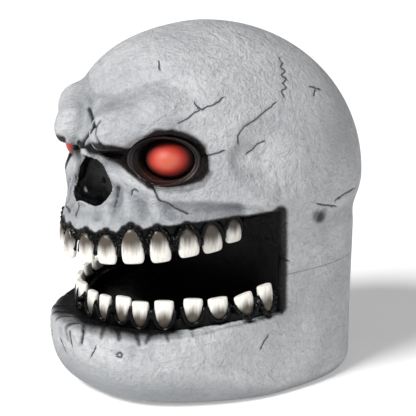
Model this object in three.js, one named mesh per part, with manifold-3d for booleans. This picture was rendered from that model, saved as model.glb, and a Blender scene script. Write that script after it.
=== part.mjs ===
// A free-standing halloween skull with an open mouth and lit red eyes.
// Millimetres, +Z up. The face looks along -Y and +X is the skull's own left side.
// The bone is a hollow moulding in two shells. The face, brow and cheeks come from one
// clay formula: rounded lumps blended together, whose surface a ball is pushed out to.
import * as THREE from 'three';
import { mergeVertices } from 'three/addons/utils/BufferGeometryUtils.js';
import Module from 'manifold-3d';

const wasm = await Module();
wasm.setup();

// Driving dimensions
const WIDTH = 336;
const LENGTH = 418;
const HEIGHT = 438;
const WALL = 4.5;
const GAP = 0.3;
const OVERRUN = 12;
const SEAM_HEIGHT = 150;
const LAP = { height: 8, wall: 3 };

// Teeth: nominal sizes of one tooth in each jaw, and the black ridge that holds them
const UPPER_TOOTH = { widthShare: 0.1156, height: 36, depth: 9 };
const LOWER_TOOTH = { widthShare: 0.0933, height: 31, depth: 9 };
const TOOTH_BEVEL = 1.5;
const RIDGE = { height: 18, outside: 4, inside: 12, sheet: 2.5 };
const LINER = { wall: 2.5, margin: 6 };

// Eyes: the lens is an oval dome with a flange, held by the lid ring
const LENS = { radius: 30, dome: 34, wall: 2.5, flange: 5.5, flangeThickness: 2 };
const OVAL_SHARE = 0.767;
const LID = { thickness: 5, lip: 2 };
const LAMP_CUP = { mouth: 20, flange: 4, floor: 6, depth: 12, wall: 2 };
const LED = { radius: 2.5, length: 8.6, collar: 0.6, collarHeight: 1 };
const WIRE = { radius: 1.4, bend: 16 };

// Nose: a black cup set in a pear-shaped hole
const NOSE = { width: 62, height: 51, depth: 42, wall: 3 };

// Battery case in the lower back, for three AA cells, with its lid and switch
const CELL = { radius: 7.25, length: 50.5, nub: 2.75, nubLength: 1.5, pitch: 15.4 };
const CELL_NAMES = ['left', 'middle', 'right'];
const CASE = { wall: 2, bezel: 2.5, border: 16, floorHeight: 62, lipHeight: 4, spring: 6 };
const CONTACT = { thickness: 0.8, depth: 9 };
const LID_DOOR = { thickness: 2.5, knuckle: 3, pin: 1.5, knuckleLength: 20, ear: 5 };
const TAB = { width: 16, height: 3, thickness: 1.4 };
const SWITCH = { travel: 5, width: 5, height: 4, proud: 2.5, plate: 1.5, plateMargin: 3, room: 7 };
const BOARD = { width: 40, height: 42, thickness: 1.6, peg: 1.5, standoff: 5 };
const SCREW = { head: 3.2, headHeight: 1.6, shank: 1.5, length: 11 };

// Base
const BASE = { opening: 78, ledge: 8, thickness: 1.7, hook: 3, hookWidth: 16 };

// Facets
const SKIN_COLUMNS = 46;
const SKIN_ROWS = 31;
const LINING_COLUMNS = 26;
const LINING_ROWS = 18;
const ROUND = 16;
const DOME_STEPS = 5;
const EDGE_STEPS = 9;
const ARCH_STEPS = 12;
const WIRE_STEPS = 18;
const LID_STEPS = 2;
const FINE = 10;
const WIRE_SIDES = 8;
const HALVINGS = 24;
const LUMP_ROW_SHARE = 0.6;
const CROWD_SHARE = 0.22;
const TURN_STEP = 0.01;

// The clay, as shares of half the width, half the length and the height.
// Each lump is [centre, radii]; each bar is [end, end, radius, radius], radii of the height.
const HEART_SHARES = [0, -0.05, 0.57];
const CRANIUM_SHARES = { at: [0, -0.038, 0.562], side: 1, front: 0.765, back: 1.06, up: 0.438, down: 0.265 };
const FOREHEAD_SHARES = [[0, -0.335, 0.722], [0.75, 0.456, 0.235]];
const FACE_SHARES = [[0, -0.44, 0.612], [0.75, 0.352, 0.158]];
const BRIDGE_SHARES = [[0, -0.804, 0.753], [0, -0.845, 0.676], 0.046, 0.027];
const CHEEK_SHARES = [[0.66, -0.46, 0.598], [0.84, -0.25, 0.582], 0.048, 0.041];
const ARCH_SHARES = [[0.84, -0.25, 0.582], [0.9, 0.03, 0.571], 0.041, 0.027];
const INNER_BROW_SHARES = [[0.208, -0.812, 0.738], [0.464, -0.632, 0.768], 0.068, 0.06];
const OUTER_BROW_SHARES = [[0.464, -0.632, 0.768], [0.702, -0.45, 0.753], 0.06, 0.041];
const TEMPLE_SHARES = [[1.155, -0.249, 0.699], [0.262, 0.239, 0.123]];
const EAR_SHARES = [[0.952, 0.268, 0.489], [0.083, 0.057, 0.027]];
const FURROW_SHARES = [[0, -0.976, 0.813], [0, -0.947, 0.726], 0.011, 0.018];
const BLEND_SHARES = { soft: 0.068, brow: 0.025, cheek: 0.037, neck: 0.022, dish: 0.05, crease: 0.018 };

// The block under the cranium (neck and jaw) and the upper jaw, as rounded rectangles in plan
const BLOCK_SHARES = { middle: 0.029, side: 0.875, flare: 0.03, front: 1.01, back: 0.852, square: 2.5 };
const BLOCK_TOP_SHARE = 0.514;
const BLOCK_RIM_SHARE = 0.091;
const FOOT_SHARES = { back: 0.05, front: 0.17 };
const CHIN_SHARES = { from: 0.183, to: 0.308, back: 0.2 };
const MUZZLE_SHARES = { middle: -0.21, side: 0.726, front: 0.737, back: 0.48, square: 2 };
const MUZZLE_HEIGHT_SHARES = { top: 0.567, bottom: 0.434, topEdge: 0.1, bottomEdge: 0.023 };
const FLOOR_SHARE = 0.004;

// Side view of the open mouth: along in shares of half the length, up in shares of the height
const MOUTH_TOP_SHARES = [[-1.1, 0.468], [-0.9, 0.48], [-0.72, 0.503], [-0.5, 0.521], [-0.29, 0.531],
  [-0.06, 0.536]];
const MOUTH_BOTTOM_SHARES = [[-1.1, 0.2], [-0.95, 0.2], [-0.84, 0.201], [-0.6, 0.203], [-0.41, 0.215],
  [-0.24, 0.217], [-0.06, 0.226]];

// The tooth arches in plan, and for each tooth from the middle back along one side:
// turn along the arch, width, height, and how far its root lies from the bone's edge
const UPPER_ARCH_SHARES = { side: 0.696, front: -0.943, back: -0.191, square: 2 };
const LOWER_ARCH_SHARES = { side: 0.833, front: -0.804, back: 0.067, square: 2.15 };
const UPPER_TEETH_SHARES = [[0.09, 0.88, 0.9, 0.19], [0.24, 0.96, 0.91, 0.18], [0.386, 1.06, 1.08, 0.08],
  [0.526, 0.98, 1, 0.26], [0.662, 1, 0.93, 0.3], [0.789, 1.02, 0.94, 0.37], [0.911, 0.88, 0.78, 0.37]];
const LOWER_TEETH_SHARES = [[0.05, 0.78, 0.9, 0.27], [0.17, 0.88, 0.94, 0.34], [0.274, 0.88, 0.92, 0.25],
  [0.396, 0.96, 1, 0.26], [0.53, 0.94, 0.88, 0.4], [0.653, 1, 0.78, 0.38], [0.774, 0.98, 0.8, 0.46],
  [0.864, 0.82, 1.02, 0.4]];
// Half a tooth seen from the front: across, and up from the cutting edge to the root
const TOOTH_OUTLINE_SHARES = [[0, 0], [0.78, 0], [0.96, 0.1], [1, 0.35], [0.86, 0.72], [0.5, 0.94], [0, 1]];
const NOSE_OUTLINE_SHARES = [[0, 0.14], [0.25, 0.03], [0.55, 0], [0.9, 0.12], [1, 0.32], [0.83, 0.56],
  [0.55, 0.82], [0.2, 0.98], [0, 1]];

const EYE_SHARES = [0.458, -0.569, 0.66];
const EYE_SEAT_SHARE = 0.053;
const SOCKET_SHARES = [[0.49, -0.7, 0.664], [0.25, 0.195, 0.063]];
const TEAR_SHARES = [[0.36, -0.861, 0.683], [0.19, 0.12, 0.032]];
const NOSE_FOOT_SHARE = 0.546;
const NOSE_FRONT_SHARE = -0.955;
const BASE_SHARES = { middle: -0.01, long: 0.56 };
const HOOK_TURN_SHARES = [0.11, 0.39, 0.61, 0.89];

const BONE = material(0xd2d4d5, 0.62);
const BLACK = material(0x111215, 0.35);
const TOOTH_IVORY = material(0xe6dfcf, 0.4);
const EYELID = material(0x2a1714, 0.5);
const RED_LENS = material(0xd8483a, 0.25);
const WHITE_PLASTIC = material(0xe8e8e4, 0.5);
const CASE_PLASTIC = material(0x26282b, 0.55);
const BOARD_GREEN = material(0x2e6b3f, 0.6);
const CELL_SLEEVE = material(0x3c4a5c, 0.4);
const METAL = material(0xb9bcc0, 0.35, 1);

function material(color, roughness, metalness = 0) {
  return new THREE.MeshStandardMaterial({ color, roughness, metalness });
}

const skull = new THREE.Group();

function add(name, solid, look) {
  const mesh = new THREE.Mesh(geometryOf(solid), look);
  mesh.name = name;
  skull.add(mesh);
}

// Solids from three.js geometry, and back

function solidOf(geometry) {
  geometry.deleteAttribute('normal');
  geometry.deleteAttribute('uv');
  const merged = mergeVertices(geometry);
  const corners = merged.index.array;
  const kept = [];
  for (let i = 0; i < corners.length; i += 3) {
    const [a, b, c] = [corners[i], corners[i + 1], corners[i + 2]];
    if (a !== b && b !== c && c !== a) {
      kept.push(a, b, c);
    }
  }
  return new wasm.Manifold(new wasm.Mesh({
    numProp: 3,
    vertProperties: Float32Array.from(merged.attributes.position.array),
    triVerts: Uint32Array.from(kept),
  }));
}

function geometryOf(solid) {
  const mesh = solid.getMesh();
  const geometry = new THREE.BufferGeometry();
  geometry.setAttribute('position', new THREE.BufferAttribute(Float32Array.from(mesh.vertProperties), 3));
  geometry.setIndex(new THREE.BufferAttribute(Uint32Array.from(mesh.triVerts), 1));
  geometry.computeVertexNormals();
  return geometry;
}

// A box from its low and high corners
function box(low, high) {
  const size = high.map((value, i) => value - low[i]);
  const middle = high.map((value, i) => (value + low[i]) / 2);
  return solidOf(new THREE.BoxGeometry(...size).translate(...middle));
}

// A round bar from one point along an axis
function bar(radius, length, axis, start, sides = FINE) {
  const geometry = new THREE.CylinderGeometry(radius, radius, length, sides).translate(0, length / 2, 0);
  const up = new THREE.Vector3(0, 1, 0);
  const turn = new THREE.Quaternion().setFromUnitVectors(up, new THREE.Vector3(...axis));
  return solidOf(geometry.applyQuaternion(turn).translate(...start));
}

// A turned piece about a line that points along -Y; profile points are [radius, forward]
function turned(profile, centre, sides, ovalShare = 1) {
  const points = profile.map(([radius, forward]) => new THREE.Vector2(radius, forward));
  if (THREE.ShapeUtils.area(points) < 0) {
    points.reverse();
  }
  const geometry = new THREE.LatheGeometry(points, sides).rotateX(Math.PI);
  return solidOf(geometry.scale(1, 1, ovalShare).translate(...centre));
}

// An outline of [across, up] points pushed along Y from near to far
function alongY(outline, near, far) {
  const shape = new THREE.Shape(outline.map(([x, z]) => new THREE.Vector2(x, z)));
  const geometry = new THREE.ExtrudeGeometry(shape, { depth: far - near, bevelEnabled: false });
  return solidOf(geometry.rotateX(Math.PI / 2).translate(0, far, 0));
}

// An outline of [along, up] points pushed across the whole width
function acrossX(outline) {
  const shape = new THREE.Shape(outline.map(([y, z]) => new THREE.Vector2(y, z)));
  const geometry = new THREE.ExtrudeGeometry(shape, { depth: WIDTH, bevelEnabled: false });
  const axes = new THREE.Matrix4().makeBasis(
    new THREE.Vector3(0, 1, 0), new THREE.Vector3(0, 0, 1), new THREE.Vector3(1, 0, 0));
  return solidOf(geometry.applyMatrix4(axes).translate(-WIDTH / 2, 0, 0));
}

// A plan outline of [x, y] points pushed up from low to high
function upZ(outline, low, high) {
  const shape = new THREE.Shape(outline.map(([x, y]) => new THREE.Vector2(x, y)));
  const geometry = new THREE.ExtrudeGeometry(shape, { depth: high - low, bevelEnabled: false });
  return solidOf(geometry.translate(0, 0, low));
}

function lump(centre, radii, sides = ROUND) {
  const ball = new THREE.SphereGeometry(1, sides, Math.round(sides * LUMP_ROW_SHARE));
  return solidOf(ball.rotateX(Math.PI / 2).scale(...radii).translate(...centre));
}

// Moves each point of a closed outline outward by the same distance
function grown(outline, by) {
  const turnsLeft = THREE.ShapeUtils.area(outline.map(([x, y]) => new THREE.Vector2(x, y))) > 0;
  return outline.map(([x, y], i) => {
    const before = outline[(i + outline.length - 1) % outline.length];
    const after = outline[(i + 1) % outline.length];
    const first = new THREE.Vector2(y - before[1], before[0] - x).normalize();
    const second = new THREE.Vector2(after[1] - y, x - after[0]).normalize();
    const out = first.add(second).normalize().multiplyScalar(turnsLeft ? by : -by);
    return [x + out.x, y + out.y];
  });
}

// Shares to millimetres, for places and for radii
function scaled([across, along, up]) {
  return [across * WIDTH / 2, along * LENGTH / 2, up * HEIGHT];
}

// The clay: distances are negative inside

function blend(a, b, soft) {
  const h = THREE.MathUtils.clamp(0.5 + (b - a) / (2 * soft), 0, 1);
  return b + (a - b) * h - soft * h * (1 - h);
}

function carve(a, b, soft) {
  return -blend(-a, b, soft);
}

function toLump(point, centre, radii) {
  const q = point.map((value, i) => (value - centre[i]) / radii[i]);
  const near = Math.hypot(...q);
  const steep = Math.hypot(...q.map((value, i) => value / radii[i]));
  return steep > 0 ? near * (near - 1) / steep : -Math.min(...radii);
}

function toBar(point, [first, second, firstShare, secondShare]) {
  const a = new THREE.Vector3(...scaled(first));
  const along = new THREE.Vector3(...scaled(second)).sub(a);
  const from = new THREE.Vector3(...point).sub(a);
  const t = THREE.MathUtils.clamp(from.dot(along) / along.lengthSq(), 0, 1);
  const radius = THREE.MathUtils.lerp(firstShare, secondShare, t) * HEIGHT;
  return from.addScaledVector(along, -t).length() - radius;
}

// A rounded rectangle in plan
function toPlan(x, y, side, front, back, square) {
  const along = y < 0 ? front : back;
  const q = (Math.abs(x / side) ** square + Math.abs(y / along) ** square) ** (1 / square);
  const out = Math.hypot(x, y);
  return q > 0 ? (q - 1) * out / q : -side;
}

function toCranium(point) {
  const { at, side, front, back, up, down } = CRANIUM_SHARES;
  const centre = scaled(at);
  const radii = scaled([side, point[1] < centre[1] ? front : back, point[2] < centre[2] ? down : up]);
  return toLump(point, centre, radii);
}

function toBlock(point) {
  const [x, y, z] = point;
  const up = z / HEIGHT;
  const chin = CHIN_SHARES.back * THREE.MathUtils.smoothstep(up, CHIN_SHARES.from, CHIN_SHARES.to);
  const flare = BLOCK_SHARES.flare * THREE.MathUtils.smoothstep(up, CHIN_SHARES.from / 2, BLOCK_TOP_SHARE);
  const plan = toPlan(x, y - BLOCK_SHARES.middle * LENGTH / 2, (BLOCK_SHARES.side + flare) * WIDTH / 2,
    (BLOCK_SHARES.front - chin) * LENGTH / 2, BLOCK_SHARES.back * LENGTH / 2, BLOCK_SHARES.square);
  const roofed = carve(plan, BLOCK_TOP_SHARE * HEIGHT - z, BLOCK_RIM_SHARE * HEIGHT);
  const forward = THREE.MathUtils.smoothstep(-y, 0, LENGTH * MUZZLE_SHARES.front / 2);
  const foot = THREE.MathUtils.lerp(FOOT_SHARES.back, FOOT_SHARES.front, forward) * HEIGHT;
  return carve(roofed, z + FLOOR_SHARE * HEIGHT, foot);
}

function toMuzzle(point) {
  const [x, y, z] = point;
  const { middle, side, front, back, square } = MUZZLE_SHARES;
  const { top, bottom, topEdge, bottomEdge } = MUZZLE_HEIGHT_SHARES;
  const half = LENGTH / 2;
  const plan = toPlan(x, y - middle * half, side * WIDTH / 2, front * half, back * half, square);
  const roofed = carve(plan, top * HEIGHT - z, topEdge * HEIGHT);
  return carve(roofed, z - bottom * HEIGHT, bottomEdge * HEIGHT);
}

function toBone(point) {
  const mirrored = [Math.abs(point[0]), point[1], point[2]];
  const soft = (name) => BLEND_SHARES[name] * HEIGHT;
  const toShare = (at, [centre, radii]) => toLump(at, scaled(centre), scaled(radii));
  let d = blend(toCranium(point), toShare(point, FOREHEAD_SHARES), soft('soft'));
  d = blend(d, toBlock(point), soft('neck'));
  d = blend(d, toShare(point, FACE_SHARES), soft('soft'));
  d = blend(d, toMuzzle(point), soft('cheek'));
  d = blend(d, toBar(point, BRIDGE_SHARES), soft('cheek'));
  d = blend(d, toBar(mirrored, CHEEK_SHARES), soft('cheek'));
  d = blend(d, toBar(mirrored, ARCH_SHARES), soft('cheek'));
  d = carve(d, toShare(mirrored, TEMPLE_SHARES), soft('dish'));
  const inner = toBar(mirrored, INNER_BROW_SHARES);
  d = blend(d, blend(inner, toBar(mirrored, OUTER_BROW_SHARES), soft('cheek')), soft('brow'));
  d = carve(d, toBar(point, FURROW_SHARES), soft('crease'));
  return carve(d, toShare(mirrored, EAR_SHARES), soft('crease'));
}

// How far a point can go from a start inside the clay before it comes out of it
function reach(start, direction, inset) {
  let low = 0;
  let high = LENGTH;
  for (let i = 0; i < HALVINGS; i += 1) {
    const middle = (low + high) / 2;
    const point = start.map((value, axis) => value + direction[axis] * middle);
    if (toBone(point) < -inset) {
      low = middle;
    } else {
      high = middle;
    }
  }
  return low;
}

// The whole head without its mouth and sockets, drawn in by the inset
function head(inset, columns, rows) {
  const ball = new THREE.SphereGeometry(1, columns, rows).rotateX(Math.PI / 2);
  const spots = ball.attributes.position;
  const heart = scaled(HEART_SHARES);
  for (let i = 0; i < spots.count; i += 1) {
    const [x, y, z] = [spots.getX(i), spots.getY(i), spots.getZ(i)];
    const angle = Math.atan2(x, -y);
    const crowded = angle - CROWD_SHARE * Math.sin(angle);
    const out = Math.hypot(x, y);
    const direction = [out * Math.sin(crowded), -out * Math.cos(crowded), z];
    const far = reach(heart, direction, inset);
    spots.setXYZ(i, ...heart.map((value, axis) => value + direction[axis] * far));
  }
  return solidOf(ball);
}

const outerHead = head(0, SKIN_COLUMNS, SKIN_ROWS);
const innerHead = head(WALL, LINING_COLUMNS, LINING_ROWS);

// Mouth

function edgeLine(shares) {
  const points = shares.map(([along, up]) => new THREE.Vector2(along * LENGTH / 2, up * HEIGHT));
  return new THREE.SplineCurve(points).getPoints(EDGE_STEPS);
}

const mouthTop = edgeLine(MOUTH_TOP_SHARES);
const mouthBottom = edgeLine(MOUTH_BOTTOM_SHARES);
const MOUTH_BACK = mouthTop[mouthTop.length - 1].x;

function heightAt(line, y) {
  const next = Math.max(1, line.findIndex((point) => point.x > y));
  const [a, b] = [line[next - 1], line[next]];
  return THREE.MathUtils.mapLinear(y, a.x, b.x, a.y, b.y);
}

// The open mouth, made larger all round
function mouthTool(by) {
  const top = mouthTop.map((point) => [point.x, point.y + by]);
  const bottom = mouthBottom.map((point) => [point.x, point.y - by]);
  top[top.length - 1][0] += by;
  bottom[bottom.length - 1][0] += by;
  return acrossX([...bottom, ...top.reverse()]);
}

// A sheet that follows one edge of the mouth, between two offsets from it
function sheetAlong(line, low, high, back) {
  const kept = line.map((point) => [Math.min(point.x, back), point.y]);
  const lower = kept.map(([y, z]) => [y, z + low]);
  return acrossX([...lower, ...kept.map(([y, z]) => [y, z + high]).reverse()]);
}

// Eyes and nose: the hollows that the bone wraps round

const LENS_SEAT = LENS.radius + LENS.flange;

function eyeAt(side) {
  const [x, y, z] = scaled(EYE_SHARES);
  return [side * x, y + EYE_SEAT_SHARE * LENGTH / 2, z];
}

function socketTool(side, by) {
  const [x, y, z] = eyeAt(side);
  const wide = LENS_SEAT + GAP + by;
  const profile = [[0, -by], [wide, -by], [wide, LENS.dome], [0, LENS.dome]];
  const seat = turned(profile, [x, y, z], ROUND, OVAL_SHARE);
  const [centre, radii] = [scaled(SOCKET_SHARES[0]), scaled(SOCKET_SHARES[1])];
  const bowl = lump([side * centre[0], centre[1], centre[2]], radii.map((value) => value + by));
  const [corner, spread] = [scaled(TEAR_SHARES[0]), scaled(TEAR_SHARES[1])];
  const tear = lump([side * corner[0], corner[1], corner[2]], spread.map((value) => value + by));
  return bowl.add(tear).add(seat);
}

function noseOutline(by) {
  const foot = NOSE_FOOT_SHARE * HEIGHT;
  const half = NOSE_OUTLINE_SHARES.map(([x, z]) => [x * NOSE.width / 2, foot + z * NOSE.height]);
  const other = half.slice(1, -1).map(([x, z]) => [-x, z]).reverse();
  return grown([...half, ...other], by);
}

const NOSE_FRONT = NOSE_FRONT_SHARE * LENGTH / 2;
const NOSE_BACK = NOSE_FRONT + NOSE.depth;

// Battery case: everything is measured from the flat that it is let into
const CASE_MIDDLE = CASE.floorHeight + (CELL.length + CASE.spring) / 2;
const REAR = reach([0, 0, CASE_MIDDLE], [0, 1, 0], 0);
const SEAT = REAR - CASE.bezel;
const CELL_ROOM = CELL_NAMES.length * CELL.pitch;
const CASE_INSIDE = { x: CELL_ROOM / 2 + 2 * GAP, depth: 2 * CELL.radius + 3 * TAB.thickness };
const CASE_LOW = CASE.floorHeight - SWITCH.height - 2 * SWITCH.plateMargin - CASE.wall;
const CELLS_LOW = CASE.floorHeight + CASE.wall + CONTACT.thickness + 2 * GAP;
const CELLS_HIGH = CELLS_LOW + CASE.spring + CELL.length;
const ROOF = CELLS_HIGH + CONTACT.thickness + 2 * GAP;
const PIN_HEIGHT = ROOF - LID_DOOR.knuckle - GAP;
const PIN_DEPTH = SEAT + LID_DOOR.thickness / 2;

function bezelOutline(by) {
  const x = CASE_INSIDE.x + CASE.wall + CASE.border + by;
  const low = CASE_LOW - CASE.border / 2 - by;
  const high = ROOF + CASE.wall + CASE.border / 2 + by;
  return [[-x, low], [x, low], [x, high], [-x, high]];
}

function caseBody(by) {
  const x = CASE_INSIDE.x + CASE.wall + by;
  const front = SEAT - CASE_INSIDE.depth - CASE.wall - by;
  return box([-x, front, CASE_LOW - by], [x, REAR + OVERRUN, ROOF + CASE.wall + by]);
}

function screwPlaces() {
  const x = CASE_INSIDE.x + CASE.wall + CASE.border / 2;
  return [-x, x].map((across) => [across, REAR, CASE_MIDDLE]);
}

// Base: an oval in plan, drawn in or let out by the same distance

const FLOOR_TOP = WALL - FLOOR_SHARE * HEIGHT;

function basePoint(turn, by) {
  const middle = BASE_SHARES.middle * LENGTH / 2;
  const long = BASE_SHARES.long * LENGTH / 2;
  return [(BASE.opening + by) * Math.cos(turn), middle + (long + by) * Math.sin(turn)];
}

function baseOval(by) {
  return Array.from({ length: 2 * ROUND }, (_, i) => basePoint(i / ROUND * Math.PI, by));
}

// The bone before it is parted: a wall that follows the skin, the mouth and the sockets
function wholeBone() {
  const mouth = mouthTool(0);
  let bone = outerHead.subtract(innerHead);
  bone = bone.add(outerHead.intersect(mouthTool(WALL)));
  for (const side of [-1, 1]) {
    bone = bone.add(outerHead.intersect(socketTool(side, WALL)));
  }
  bone = bone.subtract(mouth);
  for (const side of [-1, 1]) {
    bone = bone.subtract(socketTool(side, 0));
    const [x, y, z] = eyeAt(side);
    const reachBack = [[0, -WALL - OVERRUN], [LAMP_CUP.mouth + GAP, -WALL - OVERRUN],
      [LAMP_CUP.mouth + GAP, WALL], [0, WALL]];
    bone = bone.subtract(turned(reachBack, [x, y, z], ROUND, OVAL_SHARE));
  }
  bone = bone.subtract(alongY(noseOutline(NOSE.wall + GAP), NOSE_FRONT - OVERRUN, NOSE_BACK));
  bone = bone.subtract(box([-WIDTH, -LENGTH, -OVERRUN], [WIDTH, LENGTH, 0]));
  bone = bone.subtract(upZ(baseOval(0), -OVERRUN, BASE.thickness));
  bone = bone.subtract(upZ(baseOval(-BASE.ledge), -OVERRUN, WALL + OVERRUN));
  bone = bone.subtract(alongY(bezelOutline(GAP), SEAT, REAR + OVERRUN)).subtract(caseBody(GAP));
  for (const [x, y, z] of screwPlaces()) {
    bone = bone.subtract(bar(SCREW.shank + GAP, SCREW.length + OVERRUN, [0, -1, 0], [x, y, z]));
  }
  return bone;
}

// Above the seam is the cranium, below it the jaw, whose lap stands up inside the cranium
function addShells() {
  const whole = wholeBone();
  const size = [WIDTH, LENGTH, HEIGHT];
  const above = box([-size[0], -size[1], SEAM_HEIGHT + GAP / 2], [size[0], size[1], 2 * size[2]]);
  const below = box([-size[0], -size[1], -OVERRUN], [size[0], size[1], SEAM_HEIGHT - GAP / 2]);
  const band = box([-size[0], MOUTH_BACK + WALL + GAP, SEAM_HEIGHT - LAP.height],
    [size[0], size[1], SEAM_HEIGHT + LAP.height]);
  const inside = (inset) => head(inset, LINING_COLUMNS, LINING_ROWS);
  const rooted = inside(WALL - GAP).intersect(box([-size[0], 0, 0], [size[0], size[1], SEAM_HEIGHT]));
  const lap = rooted.add(inside(WALL + GAP)).intersect(band).subtract(inside(WALL + GAP + LAP.wall));
  add('cranium_shell', whole.intersect(above), BONE);
  add('jaw_shell', whole.intersect(below).add(lap), BONE);
}

// Gums, teeth and the black lining of the mouth

function archPoint({ side, front, back, square }, turn, by) {
  const middle = back * LENGTH / 2;
  const across = Math.sign(turn) * Math.abs(Math.sin(turn)) ** (2 / square);
  const along = Math.abs(Math.cos(turn)) ** (2 / square);
  return [(side * WIDTH / 2 + by) * across, middle - (middle - front * LENGTH / 2 + by) * along];
}

// How long half an arch is, from the middle of the face to its rear end
function archLength(arch) {
  let length = 0;
  for (let i = 1; i <= ARCH_STEPS; i += 1) {
    const [x, y] = archPoint(arch, i / ARCH_STEPS * Math.PI / 2, 0);
    const [nearX, nearY] = archPoint(arch, (i - 1) / ARCH_STEPS * Math.PI / 2, 0);
    length += Math.hypot(x - nearX, y - nearY);
  }
  return length;
}

// The space inside an arch that has been made wider, back to the mouth's rear wall
function archPlan(arch, by) {
  const front = [];
  for (let i = -ARCH_STEPS; i <= ARCH_STEPS; i += 1) {
    front.push(archPoint(arch, i / ARCH_STEPS * Math.PI / 2, by));
  }
  const back = MOUTH_BACK - LINER.wall - 2 * GAP;
  const curve = front.filter(([, y]) => y < back);
  const [first, last] = [curve[0], curve[curve.length - 1]];
  return [...curve, [last[0], back], [first[0], back]];
}

function archSolid(arch, by) {
  return upZ(archPlan(arch, by), 0, HEIGHT);
}

// A tooth's outline, bevelled at by = 0; a larger by gives the hole that it stands in
function toothBlock(size, width, heightShare, by) {
  const half = TOOTH_OUTLINE_SHARES.map(([x, z]) => [
    x * (width / 2 + by), z * (size.height * heightShare + by)]);
  const outline = [...half, ...half.slice(1, -1).map(([x, z]) => [-x, z]).reverse()];
  const shape = new THREE.Shape(outline.map(([x, z]) => new THREE.Vector2(x, z)));
  if (by > 0) {
    const deep = size.depth + 2 * by + OVERRUN;
    const hole = new THREE.ExtrudeGeometry(shape, { depth: deep, bevelEnabled: false });
    return hole.translate(0, 0, -size.depth / 2 - by);
  }
  const bevel = { bevelThickness: TOOTH_BEVEL, bevelSize: TOOTH_BEVEL, bevelOffset: -TOOTH_BEVEL };
  const depth = size.depth - 2 * TOOTH_BEVEL;
  const tooth = new THREE.ExtrudeGeometry(shape, { depth, bevelSegments: 1, ...bevel });
  return tooth.translate(0, 0, -depth / 2);
}

function toothSolid({ size, arch, line, upper }, shares, side, by) {
  const [turnShare, widthShare, heightShare, sinkShare] = shares;
  const width = size.widthShare * archLength(arch) * widthShare;
  const geometry = toothBlock(size, width, heightShare, by).rotateX(Math.PI / 2);
  const turn = turnShare * Math.PI / 2;
  const [x, y] = archPoint(arch, turn, 0);
  const [nearX, nearY] = archPoint(arch, turn - TURN_STEP, 0);
  const tall = size.height * heightShare;
  if (upper) {
    geometry.translate(0, 0, -tall);
  } else {
    geometry.rotateY(Math.PI).translate(0, 0, tall);
  }
  const sink = sinkShare * size.height;
  const root = heightAt(line, y) + (upper ? -sink : sink);
  geometry.rotateZ(side * Math.atan2(y - nearY, x - nearX)).translate(side * x, y, root);
  return solidOf(geometry);
}

function addJaw(name, jaw, teethShares) {
  const wide = archSolid(jaw.arch, RIDGE.outside);
  const strip = (height) => (jaw.upper
    ? sheetAlong(jaw.line, -height, -GAP, MOUTH_BACK)
    : sheetAlong(jaw.line, GAP, height, MOUTH_BACK));
  const ridge = wide.subtract(archSolid(jaw.arch, -RIDGE.inside)).intersect(strip(RIDGE.height));
  let gum = ridge.add(wide.intersect(strip(RIDGE.sheet)));
  for (const [side, word] of [[1, 'left'], [-1, 'right']]) {
    teethShares.forEach((shares, i) => {
      gum = gum.subtract(toothSolid(jaw, shares, side, GAP));
      add(`${name}_tooth_${word}_${i + 1}`, toothSolid(jaw, shares, side, 0), TOOTH_IVORY);
    });
  }
  add(`${name}_gum`, gum, BLACK);
}

// The black wall at the back of the mouth
function addLiner() {
  const back = MOUTH_BACK - GAP;
  const low = heightAt(mouthBottom, back) + GAP;
  const high = heightAt(mouthTop, back - LINER.wall) - GAP;
  const sheet = box([-WIDTH / 2, back - LINER.wall, low], [WIDTH / 2, back, high]);
  add('mouth_liner', sheet.intersect(head(LINER.margin, LINING_COLUMNS, LINING_ROWS)), BLACK);
}

function addNose() {
  const block = alongY(noseOutline(NOSE.wall), NOSE_FRONT - OVERRUN, NOSE_BACK + NOSE.wall);
  const hollow = alongY(noseOutline(0), NOSE_FRONT - 2 * OVERRUN, NOSE_BACK);
  add('nose_liner', block.intersect(outerHead).subtract(hollow), BLACK);
}

// Eyes

function domeProfile(inset, low) {
  const points = [];
  for (let i = 0; i <= DOME_STEPS; i += 1) {
    const turn = i / DOME_STEPS * Math.PI / 2;
    points.push([(LENS.radius - inset) * Math.cos(turn), low + (LENS.dome - inset - low) * Math.sin(turn)]);
  }
  points[DOME_STEPS][0] = 0;
  return points;
}

function addEye(side, word) {
  const [x, y, z] = eyeAt(side);
  const flangeTop = GAP + LENS.flangeThickness;
  const lens = turned([...domeProfile(LENS.wall, GAP).reverse(), [LENS_SEAT, GAP], [LENS_SEAT, flangeTop],
    ...domeProfile(0, flangeTop)], [x, y, z], ROUND, OVAL_SHARE);
  add(`eye_lens_${word}`, lens, RED_LENS);
  const lidLow = flangeTop + GAP;
  const inner = domeProfile(-2 * GAP, lidLow).slice(0, LID_STEPS + 1);
  const [edge, top] = inner[LID_STEPS];
  const ring = turned([[LENS_SEAT, lidLow], [LENS_SEAT, lidLow + LID.thickness], [edge + LID.lip, top],
    ...inner.reverse(), [LENS_SEAT, lidLow]], [x, y, z], ROUND, OVAL_SHARE);
  add(`eyelid_ring_${word}`, ring, EYELID);
  addLamp(side, word, [x, y + WALL, z]);
}

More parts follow.
